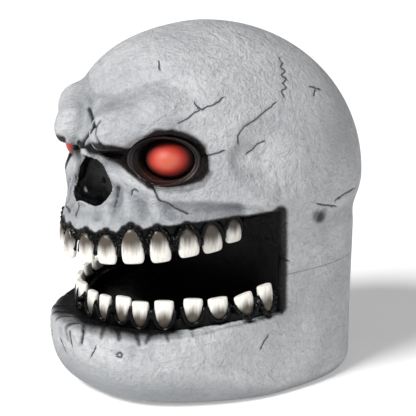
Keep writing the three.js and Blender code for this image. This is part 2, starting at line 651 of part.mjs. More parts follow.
// The white cup behind the lens, with its light and the wire down to the board
function addLamp(side, word, [x, y, z]) {
  const { mouth, flange, floor, depth, wall } = LAMP_CUP;
  const hole = LED.radius + GAP;
  const bottom = -depth - wall;
  const profile = [[mouth, -GAP], [mouth + flange, -GAP], [mouth + flange, -GAP - wall], [mouth, -GAP - wall],
    [floor + wall, bottom], [hole, bottom], [hole, -depth], [floor, -depth], [mouth, -GAP]];
  const cup = turned(profile, [x, y, z], ROUND, OVAL_SHARE);
  add(`lamp_cup_${word}`, cup, WHITE_PLASTIC);
  const back = bottom - GAP;
  const led = turned([[0, back - LED.collarHeight], [LED.radius + LED.collar, back - LED.collarHeight],
    [LED.radius + LED.collar, back], [LED.radius, back], [LED.radius, back + LED.length - LED.radius],
    [0, back + LED.length]], [x, y, z], FINE, OVAL_SHARE);
  add(`led_${word}`, led, RED_LENS);
  addWire(side, word, [x, y - back + LED.collarHeight + GAP, z]);
}

function addWire(side, word, [x, y, z]) {
  const end = [side * BOARD.width / 4, boardFront() - GAP, CASE_MIDDLE + BOARD.height / 4];
  const past = MOUTH_BACK + 2 * WIRE.bend;
  const halfway = [(x + end[0]) / 2, (past + end[1]) / 2, (z + CASE_MIDDLE) / 2];
  const points = [[x, y, z], [x, y + WIRE.bend, z], [x, past, z - WIRE.bend], halfway,
    [end[0], end[1] - WIRE.bend, end[2]], end].map((point) => new THREE.Vector3(...point));
  const route = new THREE.CatmullRomCurve3(points, false, 'centripetal');
  const ring = new THREE.EllipseCurve(0, 0, WIRE.radius, WIRE.radius).getPoints(WIRE_SIDES).slice(1);
  const section = new THREE.Shape(ring);
  const settings = { steps: WIRE_STEPS, bevelEnabled: false, extrudePath: route };
  const tube = new THREE.ExtrudeGeometry(section, settings);
  add(`eye_wire_${word}`, solidOf(tube), CASE_PLASTIC);
}

// Battery case

function boardFront() {
  return SEAT - CASE_INSIDE.depth - CASE.wall - BOARD.standoff - BOARD.thickness;
}

function addCase() {
  const { x, depth } = CASE_INSIDE;
  const low = CASE.floorHeight + CASE.wall;
  let tray = caseBody(0).subtract(box([-WIDTH, SEAT, 0], [WIDTH, LENGTH, HEIGHT]));
  tray = tray.add(alongY(bezelOutline(0), SEAT, REAR));
  tray = tray.subtract(box([-x, SEAT - depth, low], [x, SEAT, ROOF]));
  tray = tray.subtract(box([-x, SEAT - depth, low + CASE.lipHeight], [x, REAR + OVERRUN, ROOF]));
  tray = tray.subtract(switchRoom());
  for (const side of [-1, 1]) {
    tray = tray.add(hingeEar(side));
    for (const across of [-1, 1]) {
      const back = boardFront() + BOARD.thickness + GAP;
      const peg = [across * BOARD.width / 3, back, CASE_MIDDLE + side * BOARD.height / 3];
      tray = tray.add(bar(BOARD.peg, BOARD.standoff + CASE.wall / 2, [0, 1, 0], peg));
    }
  }
  const pinEnd = -x - OVERRUN;
  tray = tray.subtract(bar(LID_DOOR.pin + GAP, -2 * pinEnd, [1, 0, 0], [pinEnd, PIN_DEPTH, PIN_HEIGHT]));
  for (const [sx, sy, sz] of screwPlaces()) {
    tray = tray.subtract(bar(SCREW.shank + GAP, SCREW.length, [0, -1, 0], [sx, sy + OVERRUN / 2, sz]));
  }
  add('battery_case', tray, CASE_PLASTIC);
}

// Two ears hang from the roof of the case and hold the hinge pin
function hingeEar(side) {
  const near = LID_DOOR.knuckleLength / 2 + GAP;
  const far = near + LID_DOOR.ear;
  const [low, high] = side > 0 ? [near, far] : [-far, -near];
  const round = bar(LID_DOOR.knuckle, LID_DOOR.ear, [1, 0, 0], [low, PIN_DEPTH, PIN_HEIGHT], ROUND);
  const hanger = box([low, PIN_DEPTH - LID_DOOR.knuckle, PIN_HEIGHT], [high, REAR, ROOF + CASE.wall / 2]);
  return round.add(hanger);
}

function addDoor() {
  const x = CASE_INSIDE.x - GAP;
  const low = CASE.floorHeight + CASE.wall + CASE.lipHeight + GAP;
  const top = PIN_HEIGHT - LID_DOOR.knuckle - 2 * GAP;
  let door = box([-x, SEAT, low], [x, REAR, top]);
  const half = LID_DOOR.knuckleLength / 2;
  door = door.add(box([-half, SEAT, top - GAP], [half, REAR, PIN_HEIGHT]));
  door = door.add(bar(LID_DOOR.knuckle, 2 * half, [1, 0, 0], [-half, PIN_DEPTH, PIN_HEIGHT], ROUND));
  door = door.subtract(bar(LID_DOOR.pin + GAP, WIDTH, [1, 0, 0], [-WIDTH / 2, PIN_DEPTH, PIN_HEIGHT]));
  const grip = TAB.width / 2;
  const tabTop = low + 2 * TAB.height;
  door = door.add(box([-grip, REAR - GAP, tabTop - TAB.height], [grip, REAR + TAB.thickness, tabTop]));
  add('battery_lid', door, CASE_PLASTIC);
  const pinHalf = half + LID_DOOR.ear;
  add('hinge_pin', bar(LID_DOOR.pin, 2 * pinHalf, [1, 0, 0], [-pinHalf, PIN_DEPTH, PIN_HEIGHT]), METAL);
}

function addCells() {
  const middle = SEAT - CASE_INSIDE.depth + CELL.radius + GAP;
  CELL_NAMES.forEach((word, i) => {
    const flip = i === 1;
    const x = (1 - i) * CELL.pitch;
    const low = flip ? CELLS_LOW : CELLS_LOW + CASE.spring;
    const start = [x, middle, flip ? low + CELL.nubLength : low];
    const body = bar(CELL.radius, CELL.length - CELL.nubLength, [0, 0, 1], start, ROUND);
    const nubLow = flip ? low : low + CELL.length - CELL.nubLength - GAP;
    const nub = bar(CELL.nub, CELL.nubLength + GAP, [0, 0, 1], [x, middle, nubLow]);
    add(`battery_${word}`, body.add(nub), CELL_SLEEVE);
  });
  addContacts(middle);
}

// A strip at each end touches the cells; a raised pad stands in for each spring
function addContacts(middle) {
  const x = CASE_INSIDE.x - GAP;
  const floor = CASE.floorHeight + CASE.wall + GAP;
  const deep = CONTACT.depth / 2;
  let lower = box([-x, middle - deep, floor], [x, middle + deep, floor + CONTACT.thickness]);
  let upper = box([-x, middle - deep, ROOF - GAP - CONTACT.thickness], [x, middle + deep, ROOF - GAP]);
  const half = CONTACT.thickness / 2;
  for (const across of [-CELL.pitch, CELL.pitch]) {
    lower = lower.add(bar(CELL.nub, CASE.spring + half, [0, 0, 1], [across, middle, floor + half]));
  }
  const upperPad = CELLS_LOW + CELL.length + GAP;
  upper = upper.add(bar(CELL.nub, ROOF - GAP - half - upperPad, [0, 0, 1], [0, middle, upperPad]));
  add('contact_strip_lower', lower, METAL);
  add('contact_strip_upper', upper, METAL);
}

// The switch slides across in a slot under the lid
const SWITCH_HEIGHT = CASE.floorHeight - SWITCH.plateMargin - SWITCH.height / 2;

function switchRoom() {
  const halfSlot = (SWITCH.width + SWITCH.travel) / 2 + GAP;
  const slotHigh = SWITCH.height / 2 + GAP;
  const half = halfSlot + SWITCH.plateMargin + SWITCH.travel / 2;
  const high = slotHigh + SWITCH.plateMargin - GAP;
  const room = box([-half, SEAT - SWITCH.room, SWITCH_HEIGHT - high], [half, SEAT, SWITCH_HEIGHT + high]);
  const slotLow = [-halfSlot, SEAT - GAP, SWITCH_HEIGHT - slotHigh];
  return room.add(box(slotLow, [halfSlot, REAR + OVERRUN, SWITCH_HEIGHT + slotHigh]));
}

function addSwitch() {
  const middle = -SWITCH.travel / 2;
  const [wide, high] = [SWITCH.width / 2, SWITCH.height / 2];
  const knob = box([middle - wide, SEAT - GAP - SWITCH.plate / 2, SWITCH_HEIGHT - high],
    [middle + wide, REAR + SWITCH.proud, SWITCH_HEIGHT + high]);
  const [broad, tall] = [wide + SWITCH.plateMargin, high + SWITCH.plateMargin - 2 * GAP];
  const plate = box([middle - broad, SEAT - GAP - SWITCH.plate, SWITCH_HEIGHT - tall],
    [middle + broad, SEAT - GAP, SWITCH_HEIGHT + tall]);
  add('power_switch', knob.add(plate), WHITE_PLASTIC);
}

function addBoard() {
  const [x, z] = [BOARD.width / 2, BOARD.height / 2];
  const front = boardFront();
  const board = box([-x, front, CASE_MIDDLE - z], [x, front + BOARD.thickness, CASE_MIDDLE + z]);
  add('circuit_board', board, BOARD_GREEN);
}

function addScrews() {
  screwPlaces().forEach(([x, y, z], i) => {
    const top = y + GAP;
    const head = bar(SCREW.head, SCREW.headHeight, [0, 1, 0], [x, top, z], ROUND);
    const shank = bar(SCREW.shank, SCREW.length, [0, -1, 0], [x, top + GAP, z]);
    add(`case_screw_${i === 0 ? 'right' : 'left'}`, head.add(shank), METAL);
  });
}

// A hook stands on the plate's rim and reaches out over the bone's floor
function baseHook(turn, inner) {
  const tall = BASE.thickness + WALL / 2;
  const [x, y] = basePoint(turn, inner + (BASE.hook - WALL) / 2);
  const hook = new THREE.BoxGeometry(WALL + BASE.hook, BASE.hookWidth, tall).rotateZ(turn);
  const [postX, postY] = basePoint(turn, inner - WALL);
  const post = new THREE.BoxGeometry(2 * WALL, BASE.hookWidth, FLOOR_TOP + tall).rotateZ(turn);
  const trimmed = solidOf(post.translate(postX, postY, (FLOOR_TOP + tall) / 2 + GAP))
    .intersect(upZ(baseOval(inner), 0, HEIGHT));
  return solidOf(hook.translate(x, y, FLOOR_TOP + GAP + tall / 2)).add(trimmed);
}

// The base plate lies in a rebate and its rim stands inside the bone's opening
function addBase() {
  const inner = -BASE.ledge - GAP;
  const rim = upZ(baseOval(inner), 0, WALL).subtract(upZ(baseOval(inner - WALL), BASE.thickness, 2 * WALL));
  let plate = upZ(baseOval(-GAP), 0, BASE.thickness - GAP).add(rim);
  for (const share of HOOK_TURN_SHARES) {
    plate = plate.add(baseHook(share * 2 * Math.PI, inner));
  }
  add('base_plate', plate, CASE_PLASTIC);
}

addShells();
const upperJaw = { size: UPPER_TOOTH, arch: UPPER_ARCH_SHARES, line: mouthTop, upper: true };
addJaw('upper', upperJaw, UPPER_TEETH_SHARES);
const lowerJaw = { size: LOWER_TOOTH, arch: LOWER_ARCH_SHARES, line: mouthBottom, upper: false };
addJaw('lower', lowerJaw, LOWER_TEETH_SHARES);
addLiner();
addNose();
addEye(1, 'left');
addEye(-1, 'right');
addCase();
addDoor();
addCells();
addSwitch();
addBoard();
addScrews();
addBase();

// The origin is under the middle of the whole piece, on the table
const extent = new THREE.Box3().setFromObject(skull);
skull.position.y = -(extent.min.y + extent.max.y) / 2;

export default skull;
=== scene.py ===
# %% [markdown]
# # A light-up halloween skull, dressed for its picture
# The real thing is a hollow plastic moulding, sprayed black in its hollows, with single teeth
# set in glossy black gums and two milky red eyes lit from behind. The solids come from the frame.
# Here the moulding gets its smooth skin, cracks and sprayed shading, and each small part its finish.

# %% The frame
import math
import bpy
import numpy as np
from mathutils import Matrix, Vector


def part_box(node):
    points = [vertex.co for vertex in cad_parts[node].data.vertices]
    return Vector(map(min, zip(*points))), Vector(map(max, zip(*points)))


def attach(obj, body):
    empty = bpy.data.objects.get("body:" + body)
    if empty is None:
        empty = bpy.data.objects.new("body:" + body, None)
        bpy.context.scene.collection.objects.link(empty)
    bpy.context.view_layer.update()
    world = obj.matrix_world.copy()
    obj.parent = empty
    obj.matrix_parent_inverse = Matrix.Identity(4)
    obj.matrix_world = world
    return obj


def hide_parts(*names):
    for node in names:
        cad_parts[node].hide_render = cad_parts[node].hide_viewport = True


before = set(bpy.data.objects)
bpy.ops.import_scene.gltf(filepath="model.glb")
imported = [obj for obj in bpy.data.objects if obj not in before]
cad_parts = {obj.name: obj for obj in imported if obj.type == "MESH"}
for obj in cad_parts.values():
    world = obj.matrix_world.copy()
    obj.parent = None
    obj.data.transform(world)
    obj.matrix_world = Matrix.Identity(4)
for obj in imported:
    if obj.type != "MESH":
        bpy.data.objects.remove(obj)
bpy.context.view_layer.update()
bpy.ops.object.select_all(action="DESELECT")

# %% [markdown]
# ## The clay
# The bone was first modelled in clay, and the moulding follows it. It could be sculpted with brushes, but
# a sculpt can't be measured. So the clay is described by one distance, which is below zero inside:
# lumps and bars melt into each other, and dishes are carved out the same way.

# %% Sizes of the whole
MM = 0.001
WIDTH, LENGTH, HEIGHT = 336.0, 418.0, 438.0
HALF = np.array([WIDTH / 2, LENGTH / 2, HEIGHT])
WALL = 4.5
SEAM_HEIGHT = 150.0
FAR = 99.0  # in mm, too far away to matter
BASE_MIDDLE_SHARE = -0.01
base_low, base_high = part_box("base_plate")
MOVED = (base_low.y + base_high.y) / 2 / MM - BASE_MIDDLE_SHARE * LENGTH / 2
print("the frame lies", round(MOVED, 3), "mm along Y from the clay")

# %% Blending and carving distances
def blend(a, b, soft):
    h = np.clip(0.5 + (b - a) / (2 * soft), 0, 1)
    return b + (a - b) * h - soft * h * (1 - h)


def carve(a, b, soft):
    return -blend(-a, b, soft)


def smooth_step(value, low, high):
    t = np.clip((value - low) / (np.asarray(high) - low), 0, 1)
    return t * t * (3 - 2 * t)


# %% Lumps, bars and rounded plans
def to_lump(points, centre, radii):
    q = (points - centre) / radii
    near = np.linalg.norm(q, axis=1)
    steep = np.linalg.norm(q / radii, axis=1)
    return near * (near - 1) / np.maximum(steep, 1e-9)


def to_bar(points, first, second, first_share, second_share):
    a = np.array(first) * HALF
    along = np.array(second) * HALF - a
    t = np.clip((points - a) @ along / (along @ along), 0, 1)
    radius = (first_share + (second_share - first_share) * t) * HEIGHT
    return np.linalg.norm(points - a - t[:, None] * along, axis=1) - radius


def to_plan(x, y, side, front, back, square):
    along = np.where(y < 0, front, back)
    q = (np.abs(x / side) ** square + np.abs(y / along) ** square) ** (1 / square)
    return (q - 1) * np.hypot(x, y) / np.maximum(q, 1e-9)


# %% [markdown]
# ### The big forms
# The cranium is an egg, neck and chin are one rounded block, and the upper jaw is a muzzle before it.
# Their sizes are shares of half the width, half the length and the height, as in the source of the solids.

# %% The cranium
CRANIUM_SHARES = {"centre": (0, -0.038, 0.562), "front": 0.765, "rear": 1.06, "down": 0.265, "up": 0.438}


def to_cranium(points):
    centre = np.array(CRANIUM_SHARES["centre"]) * HALF
    along = np.where(points[:, 1] < centre[1], CRANIUM_SHARES["front"], CRANIUM_SHARES["rear"])
    up = np.where(points[:, 2] < centre[2], CRANIUM_SHARES["down"], CRANIUM_SHARES["up"])
    radii = np.stack([np.ones_like(along), along, up], axis=1) * HALF
    return to_lump(points, centre, radii)


# %% The block of neck and chin: its chin draws back as it rises, and its sides flare to the cheeks
BLOCK_SHARES = {"shift": 0.029, "side": 0.875, "front": 1.01, "rear": 0.852, "roof": 0.514,
                "roof_edge": 0.091, "floor": 0.004, "rear_edge": 0.05, "front_edge": 0.12, "reach": 0.737}
CHIN_SHARES = {"back": 0.2, "low": 0.183, "high": 0.308}
FLARE_SHARES = {"out": 0.03, "low": 0.0915, "high": 0.514}
BLOCK_SQUARE = 2.5


def to_block(points):
    x, y, z = points.T
    share = BLOCK_SHARES
    chin = CHIN_SHARES["back"] * smooth_step(z / HEIGHT, CHIN_SHARES["low"], CHIN_SHARES["high"])
    flare = FLARE_SHARES["out"] * smooth_step(z / HEIGHT, FLARE_SHARES["low"], FLARE_SHARES["high"])
    plan = to_plan(x, y - share["shift"] * LENGTH / 2, (share["side"] + flare) * WIDTH / 2,
                   (share["front"] - chin) * LENGTH / 2, share["rear"] * LENGTH / 2, BLOCK_SQUARE)
    roofed = carve(plan, share["roof"] * HEIGHT - z, share["roof_edge"] * HEIGHT)
    forward = smooth_step(-y, 0, share["reach"] * LENGTH / 2)
    edge = (share["rear_edge"] + share["front_edge"] * forward) * HEIGHT
    return carve(roofed, z + share["floor"] * HEIGHT, edge)


# %% The muzzle of the upper jaw
MUZZLE_SHARES = {"shift": 0.21, "side": 0.726, "front": 0.737, "rear": 0.48, "roof": 0.555,
                 "roof_edge": 0.1, "floor": 0.434, "floor_edge": 0.023}
MUZZLE_SQUARE = 2


def to_muzzle(points):
    x, y, z = points.T
    share = MUZZLE_SHARES
    plan = to_plan(x, y + share["shift"] * LENGTH / 2, share["side"] * WIDTH / 2,
                   share["front"] * LENGTH / 2, share["rear"] * LENGTH / 2, MUZZLE_SQUARE)
    roofed = carve(plan, share["roof"] * HEIGHT - z, share["roof_edge"] * HEIGHT)
    return carve(roofed, z - share["floor"] * HEIGHT, share["floor_edge"] * HEIGHT)


# %% [markdown]
# ### The face
# Brows, cheekbones and the bridge of the nose are bars, thicker at one end. The forehead, the middle of
# the face and the tip of the nose are lumps. The temples, the places of the ears, the valley between the
# brows and the groove below each cheekbone are carved. What lies beside the middle repeats on both sides.

# %% Lumps: centre and radii
FOREHEAD_SHARES = [0, -0.335, 0.722], [0.75, 0.456, 0.235]
FACE_SHARES = [0, -0.44, 0.612], [0.75, 0.352, 0.158]
CHEEK_HOLLOW_SHARES = [1.155, -0.249, 0.699], [0.262, 0.239, 0.123]
TEMPLE_SHARES = [0.985, -0.34, 0.675], [0.13, 0.11, 0.047]
EAR_SHARES = [0.972, 0.215, 0.487], [0.075, 0.045, 0.022]
NOSE_RIDGE = [0, -146.0, 250.0], [32.0, 48.0, 34.0]
NOSE_TIP = [0, -148.0, 241.0], [60.0, 38.0, 21.0]

# %% Bars: two ends, and the radius at each as a share of the height
BRIDGE_SHARES = [0, -0.75, 0.753], [0, -0.84, 0.676], 0.036, 0.027
VALLEY_SHARES = [0, -1.0, 0.8], [0, -0.98, 0.72], 0.022, 0.045
CHEEK_SHARES = [([0.66, -0.46, 0.598], [0.84, -0.25, 0.582], 0.048, 0.041),
                ([0.84, -0.25, 0.582], [0.9, 0.03, 0.571], 0.041, 0.027)]
BROW_SHARES = [([0.212, -0.815, 0.727], [0.464, -0.652, 0.772], 0.06, 0.05),
               ([0.464, -0.652, 0.772], [0.66, -0.43, 0.775], 0.05, 0.014)]
CHEEKBONE_SHARES = [([0.5, -0.68, 0.59], [0.72, -0.49, 0.572], 0.016, 0.032),
                    ([0.72, -0.49, 0.572], [0.89, -0.2, 0.564], 0.032, 0.031)]
GROOVE_SHARES = [([0.5, -0.79, 0.545], [0.8, -0.56, 0.53], 0.01, 0.025),
                 ([0.8, -0.56, 0.53], [0.88, -0.4, 0.53], 0.025, 0.02)]

# %% How softly each form melts into the rest, in mm
FOREHEAD_SOFT, BLOCK_SOFT, CHEEK_SOFT = 0.068 * HEIGHT, 0.022 * HEIGHT, 0.037 * HEIGHT
HOLLOW_SOFT, BROW_SOFT, VALLEY_SOFT = 0.05 * HEIGHT, 0.029 * HEIGHT, 0.012 * HEIGHT
CHEEKBONE_SOFT, RIDGE_SOFT, TIP_SOFT = 8, 10, 8
GROOVE_SOFT, TEMPLE_SOFT, EAR_SOFT = 9, 13, 4


# %% Both halves of the head, and forms given as shares
def folded(points):
    """The same places, folded onto the half where x is positive."""
    sided = points * [1, 1, 1]
    sided[:, 0] = np.abs(sided[:, 0])
    return sided


def to_share_lump(points, shares):
    centre, radii = shares
    return to_lump(points, np.array(centre) * HALF, np.array(radii) * HALF)


def to_bent_bar(points, shares, soft):
    first, second = shares
    return blend(to_bar(points, *first), to_bar(points, *second), soft)


# %% The whole clay
def to_clay(points):
    sided = folded(points)
    d = blend(to_cranium(points), to_share_lump(points, FOREHEAD_SHARES), FOREHEAD_SOFT)
    d = blend(d, to_block(points), BLOCK_SOFT)
    d = blend(d, to_share_lump(points, FACE_SHARES), FOREHEAD_SOFT)
    d = blend(d, to_muzzle(points), CHEEK_SOFT)
    d = blend(d, to_bar(points, *BRIDGE_SHARES), CHEEK_SOFT)
    for cheek in CHEEK_SHARES:
        d = blend(d, to_bar(sided, *cheek), CHEEK_SOFT)
    d = carve(d, to_share_lump(sided, CHEEK_HOLLOW_SHARES), HOLLOW_SOFT)
    d = blend(d, to_bent_bar(sided, BROW_SHARES, CHEEK_SOFT), BROW_SOFT)
    d = carve(d, to_bar(points, *VALLEY_SHARES), VALLEY_SOFT)
    d = blend(d, to_bent_bar(sided, CHEEKBONE_SHARES, CHEEKBONE_SOFT), CHEEKBONE_SOFT)
    for (centre, radii), soft in ((NOSE_RIDGE, RIDGE_SOFT), (NOSE_TIP, TIP_SOFT)):
        d = blend(d, to_lump(points, np.array(centre), np.array(radii)), soft)
    d = carve(d, to_bent_bar(sided, GROOVE_SHARES, CHEEKBONE_SOFT), GROOVE_SOFT)
    d = carve(d, to_share_lump(sided, TEMPLE_SHARES), TEMPLE_SOFT)
    return carve(d, to_share_lump(sided, EAR_SHARES), EAR_SOFT)


# %% [markdown]
# ## What is cut out of the clay
# The mouth is a wedge with curved edges, each socket an oval bowl with a corner drawn out towards the
# nose, and the nose a pear. Boolean cuts alone would leave knife edges, so these hollows are distances
# too, and are carved with a soft edge: their rims come out rounded, as a moulding tool leaves them.

# %% The edges of the mouth: shares of half the length along the head, and of the height
MOUTH_TOP_SHARES = [[-1.1, 0.468], [-0.9, 0.48], [-0.72, 0.503], [-0.5, 0.521], [-0.29, 0.531],
                    [-0.06, 0.536]]
MOUTH_BOTTOM_SHARES = [[-1.1, 0.2], [-0.95, 0.2], [-0.84, 0.201], [-0.6, 0.203], [-0.41, 0.215],
                       [-0.24, 0.217], [-0.06, 0.226]]
MOUTH_BACK = -0.06 * LENGTH / 2
LEAN, LEAN_FROM, LEAN_TO = 18, 165, 240

# %% The rims of bone outside the gums, and the arches of the teeth: side, front, rear and squareness
UPPER_RIM_SHARES = [[-1.1, 0.455], [-0.9, 0.467], [-0.72, 0.489], [-0.5, 0.507], [-0.29, 0.522],
                    [-0.06, 0.53]]
LOWER_RIM_SHARES = [[-1.1, 0.206], [-0.9, 0.208], [-0.84, 0.209], [-0.6, 0.216], [-0.41, 0.229],
                    [-0.24, 0.233], [-0.06, 0.24]]
UPPER_ARCH_SHARES, LOWER_ARCH_SHARES = (0.696, -0.943, -0.191, 2.0), (0.833, -0.804, 0.067, 2.15)
UPPER_OFF, LOWER_OFF = -2.0, 3.0


def edge_height(shares, y):
    line = np.array(shares) * [LENGTH / 2, HEIGHT]
    return np.interp(y, line[:, 0], line[:, 1])


def to_arch(points, arch):
    side, front, rear, square = arch
    middle = rear * LENGTH / 2
    along = np.minimum(points[:, 1] - middle, 0)
    return to_plan(points[:, 0], along, side * WIDTH / 2, middle - front * LENGTH / 2, LENGTH, square)


def mouth_back(z):
    """The rear edge of the mouth leans forward under the cheekbone."""
    return MOUTH_BACK - LEAN * smooth_step(z, LEAN_FROM, LEAN_TO)


# %% The mouth
def to_mouth(points):
    """The mouth, and outside the arch of the teeth the rims of bone that hang and stand before the gums."""
    y, z = points[:, 1], points[:, 2]
    hung = np.maximum(z - edge_height(MOUTH_TOP_SHARES, y), np.minimum(
        z - edge_height(UPPER_RIM_SHARES, y), to_arch(points, UPPER_ARCH_SHARES) - UPPER_OFF))
    stood = np.maximum(edge_height(MOUTH_BOTTOM_SHARES, y) - z, np.minimum(
        edge_height(LOWER_RIM_SHARES, y) - z, to_arch(points, LOWER_ARCH_SHARES) - LOWER_OFF))
    return np.maximum.reduce([hung, stood, y - mouth_back(z)])


# %% [markdown]
# ### Sockets and nose
# Each eye looks a little outwards, so its bowl and the seat of its lens are measured from the eye. The
# corner and the crease towards the nose are measured from the head. The nose is half a pear, doubled.

# %% The socket: lumps are a centre and three radii, in mm
EYE = np.array([76.5, -116.5, 291.0])
EYE_TURN = math.radians(25)
LENS_RADIUS, LENS_DOME, LENS_SEAT, OVAL = 30.0, 34.0, 35.8, 0.767
BOWL = np.array([11.0, 36.0, 2.0]), np.array([49.0, 38.0, 28.5])
CORNER = np.array([74.0, -168.0, 291.0]), np.array([26.0, 26.0, 11.0])
CREASE = np.array([52.0, -179.0, 297.0]), np.array([32.0, 17.0, 5.0])
CREASE_SOFT, CORNER_SOFT, SEAT_SOFT = 5, 7, 4


def to_eye(sided):
    """Places seen from the eye: outward along the face, forward out of the lens, and up."""
    x, y, z = (sided - EYE).T
    c, s = math.cos(EYE_TURN), math.sin(EYE_TURN)
    return np.stack([x * c + y * s, x * s - y * c, z], axis=1)


def from_eye(local, side):
    out, forward, up = np.asarray(local).T
    c, s = math.cos(EYE_TURN), math.sin(EYE_TURN)
    placed = np.stack([out * c + forward * s, out * s - forward * c, up], axis=1) + EYE
    return placed * [side, 1, 1]


def to_socket(points):
    sided = folded(points)
    local = to_eye(sided)
    bowl = to_lump(local, *BOWL)
    seat = np.maximum(np.hypot(local[:, 0], local[:, 2] / OVAL) - LENS_SEAT, -local[:, 1])
    corner = blend(to_lump(sided, *CORNER), to_lump(sided, *CREASE), CREASE_SOFT)
    return blend(blend(bowl, corner, CORNER_SOFT), seat, SEAT_SOFT)


# %% The outline of the nose
NOSE_SHARES = [[0, 0.14], [0.25, 0.03], [0.55, 0], [0.9, 0.12], [1, 0.32], [0.83, 0.56], [0.55, 0.82],
               [0.2, 0.98], [0, 1]]
NOSE_HALF, NOSE_HEIGHT, NOSE_FOOT, NOSE_DEPTH = 37.0, 57.0, 0.535 * HEIGHT, 42.0
NOSE_FRONT = -0.955 * LENGTH / 2
NOSE_PLAY = 0.8


def nose_loop(grow, points=40):
    half = np.array(NOSE_SHARES) * [NOSE_HALF, NOSE_HEIGHT] + [0, NOSE_FOOT]
    loop = np.vstack([half, (half * [-1, 1])[-2:0:-1]])
    closed = np.vstack([loop, loop[:1]])
    run = np.r_[0, np.cumsum(np.linalg.norm(np.diff(closed, axis=0), axis=1))]
    even = np.linspace(0, run[-1], points, endpoint=False)
    smooth = np.stack([np.interp(even, run, closed[:, i]) for i in range(2)], axis=1)
    for _ in range(3):
        smooth = (np.roll(smooth, 1, 0) + 2 * smooth + np.roll(smooth, -1, 0)) / 4
    tangent = np.roll(smooth, -1, 0) - np.roll(smooth, 1, 0)
    out = np.stack([tangent[:, 1], -tangent[:, 0]], axis=1)
    return smooth + grow * out / np.linalg.norm(out, axis=1)[:, None]


# %% Distance from an outline
def to_loop(flat, loop):
    """Distance from points to a closed outline, below zero inside."""
    best = np.full(len(flat), 1e9)
    inside = np.zeros(len(flat), bool)
    for a, b in zip(loop, np.roll(loop, -1, 0)):
        along = b - a
        t = np.clip((flat - a) @ along / max(along @ along, 1e-12), 0, 1)
        best = np.minimum(best, np.linalg.norm(flat - a - t[:, None] * along, axis=1))
        crosses = (a[1] > flat[:, 1]) != (b[1] > flat[:, 1])
        rise = along[1] if along[1] else 1e-9
        inside ^= crosses & (flat[:, 0] < a[0] + (flat[:, 1] - a[1]) / rise * along[0])
    return np.where(inside, -best, best)


def to_nose(points):
    walls = to_loop(points[:, [0, 2]], nose_loop(NOSE_PLAY))
    return np.maximum(walls, points[:, 1] - NOSE_FRONT - NOSE_DEPTH)


# %% The skin, with its rounded rims
SOCKET_SOFT, NOSE_SOFT, UPPER_LIP_SOFT, LOWER_LIP_SOFT = 5, 1.6, 2.5, 6.0
NOSE_MARGIN = 10  # in mm, how far behind the nose its outline is still measured


def to_skin(points):
    d = carve(to_clay(points), to_socket(points), SOCKET_SOFT)
    near = points[:, 1] < NOSE_FRONT + NOSE_DEPTH + NOSE_MARGIN
    nose = np.full(len(points), FAR)
    nose[near] = to_nose(points[near])
    d = carve(d, nose, NOSE_SOFT)
    return carve(d, to_mouth(points), np.where(points[:, 2] < SEAM_HEIGHT, LOWER_LIP_SOFT, UPPER_LIP_SOFT))


# %% [markdown]
# ## The bone
# A ball is added at the heart of the head and each of its points is pushed out until it leaves the
# clay, as air blows a balloon into a mould. Cutters take away the mouth, sockets, nose and battery
# hatch, and a second, smaller ball hollows it out. Remeshing spreads the faces evenly, and the points
# then settle on the skin, which rounds every rim. Sculpting by hand would look alike but not measure.

# %% Helpers for meshes
def only(piece):
    bpy.ops.object.select_all(action="DESELECT")
    piece.select_set(True)
    bpy.context.view_layer.objects.active = piece


def points_of(piece):
    flat = np.empty(len(piece.data.vertices) * 3)
    piece.data.vertices.foreach_get("co", flat)
    return flat.reshape(-1, 3)


def set_points(piece, points):
    piece.data.vertices.foreach_set("co", np.ascontiguousarray(points).ravel())
    piece.data.update()


def to_mm(points):
    return points / MM - [0, MOVED, 0]


def to_metres(points):
    return (np.asarray(points) + [0, MOVED, 0]) * MM


def named(name):
    piece = bpy.context.object
    piece.name = piece.data.name = name
    return piece


def apply_modifier(piece, kind, **settings):
    only(piece)
    modifier = piece.modifiers.new(kind.lower(), kind)
    for key, value in settings.items():
        setattr(modifier, key, value)
    bpy.ops.object.modifier_apply(modifier=modifier.name)


def cut(piece, tool, operation="DIFFERENCE", keep=False):
    apply_modifier(piece, "BOOLEAN", object=tool, operation=operation, solver="MANIFOLD")
    if not keep:
        bpy.data.objects.remove(tool)


def slope_of(distance, points, step):
    """Which way a distance grows at each point, and how fast."""
    return np.stack([distance(points + np.eye(3)[i] * step) - distance(points - np.eye(3)[i] * step)
                     for i in range(3)], axis=1) / (2 * step)


# %% Blow a ball out to the clay
HEART_SHARES, HALVINGS = [0, -0.05, 0.57], 17


def blown(name, levels, inset):
    """A ball from the heart of the head. Each point's distance is halved in until it meets the clay."""
    bpy.ops.mesh.primitive_ico_sphere_add(subdivisions=levels, radius=1)
    ball = named(name)
    direction = points_of(ball)
    heart = np.array(HEART_SHARES) * HALF
    low, high = np.zeros(len(direction)), np.full(len(direction), LENGTH)
    for _ in range(HALVINGS):
        middle = (low + high) / 2
        inside = to_clay(heart + direction * middle[:, None]) < -inset
        low, high = np.where(inside, middle, low), np.where(inside, high, middle)
    set_points(ball, to_metres(heart + direction * low[:, None]))
    return ball


# %% [markdown]
# ### Cutters
# Each hollow is cut with a tool of its own shape, and once more, grown by the wall, from the inner ball.
# A tool is an outline that is filled and extruded, or a ball that is stretched to an egg.

